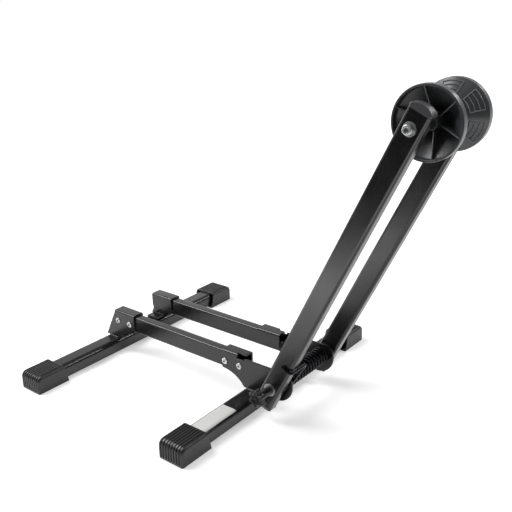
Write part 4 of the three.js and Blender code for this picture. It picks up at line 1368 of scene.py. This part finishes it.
def studio_world():
    """Soft white light from all round, weaker on the object than it looks to the camera. Reflections
    see a low pale sweep behind the stand, to the left of the view, and a dim room elsewhere."""
    world = bpy.data.worlds.new("white studio")
    bpy.context.scene.world = world
    world.use_nodes = True
    tree = world.node_tree
    way = add(tree, "ShaderNodeTexCoord").outputs["Generated"]
    behind = add(tree, "ShaderNodeVectorMath", {0: way, 1: SWEEP_WAY}, operation="DOT_PRODUCT")
    side = add(tree, "ShaderNodeMapRange", {
        "Value": behind.outputs["Value"],
        "From Min": SWEEP_SIDE[0],
        "From Max": SWEEP_SIDE[1],
    }, interpolation_type="SMOOTHSTEP")
    height = add(tree, "ShaderNodeSeparateXYZ", {0: way})
    low = add(tree, "ShaderNodeMapRange", {
        "Value": height.outputs["Z"],
        "From Min": SWEEP_TOP[0],
        "From Max": SWEEP_TOP[1],
    }, interpolation_type="SMOOTHSTEP")
    pale = add(tree, "ShaderNodeMath", {0: side.outputs[0], 1: low.outputs[0]}, operation="MULTIPLY")
    bright = add(tree, "ShaderNodeMapRange", {
        "Value": pale.outputs[0],
        "To Min": DARK_ROOM,
        "To Max": SWEEP,
    })
    ambient = add(tree, "ShaderNodeMix", {
        "Factor": rays_to_backdrop(tree),
        "A": AMBIENT,
        "B": bright.outputs[0],
    })
    strength = add(tree, "ShaderNodeMix", {
        "Factor": add(tree, "ShaderNodeLightPath").outputs["Is Camera Ray"],
        "A": ambient.outputs[0],
        "B": 1.0,
    })
    background = tree.nodes["Background"]
    background.inputs["Color"].default_value = (1, 1, 1, 1)
    tree.links.new(strength.outputs[0], background.inputs["Strength"])


def softbox(name, way, distance, width, height, brightness):
    """A rectangular soft lamp. It stands in a direction at a distance, aimed at the stand's middle, and
    its face has the brightness in reflections."""
    target = Vector(LAMPS_AIM)
    light = bpy.data.lights.new(name, "AREA")
    light.shape = "RECTANGLE"
    light.size = width
    light.size_y = height
    light.energy = brightness * math.pi * width * height
    lamp = bpy.data.objects.new(name, light)
    lamp.location = target + Vector(way).normalized() * distance
    lamp.rotation_euler = (target - lamp.location).to_track_quat("-Z", "Y").to_euler()
    lamp.visible_camera = False
    bpy.context.scene.collection.objects.link(lamp)


def camera():
    """Looks at the near side from the front of the stand, at the photograph's place and angle. Its
    angles are beside the Y axis, downward and round the line of sight."""
    yaw, pitch, roll = (math.radians(angle) for angle in CAMERA_ANGLES)
    forward = Vector((-math.sin(yaw) * math.cos(pitch), math.cos(yaw) * math.cos(pitch), -math.sin(pitch)))
    level = Vector((math.cos(yaw), math.sin(yaw), 0))
    upward = level.cross(forward)
    right = math.cos(roll) * level + math.sin(roll) * upward
    up = -math.sin(roll) * level + math.cos(roll) * upward
    data = bpy.data.cameras.new("camera")
    data.sensor_width = 36
    data.lens = FOCAL_LENGTH / IMAGE_WIDTH * data.sensor_width
    data.clip_start = 0.01
    data.clip_end = 50
    eye = bpy.data.objects.new("camera", data)
    turn = Matrix((right, up, -forward)).transposed().to_4x4()
    eye.matrix_world = Matrix.Translation(CAMERA_PLACE) @ turn
    bpy.context.scene.collection.objects.link(eye)
    bpy.context.scene.camera = eye


def studio():
    """Floor, world, lamps and camera."""
    studio_floor()
    studio_world()
    softbox("key", (-0.49, -0.24, 0.84), distance=1.55, width=0.9, height=0.9, brightness=7.5)
    softbox("front left", (-0.709, -0.426, 0.562), distance=1.76, width=0.65, height=0.35, brightness=14)
    softbox("back right", (0.50, 0.63, 0.59), distance=2.0, width=1.3, height=0.17, brightness=16)
    softbox("backdrop glow", (-0.585, 0.735, 0.2), distance=2.6, width=2.4, height=1.0, brightness=0.5)
    softbox("overhead", (0.25, 0.1, 0.96), distance=2.0, width=1.2, height=1.2, brightness=0.7)
    camera()
    bpy.context.scene.view_settings.view_transform = "Standard"


feet()
rails_and_brackets()
pivot()
arms()
roller()
studio()
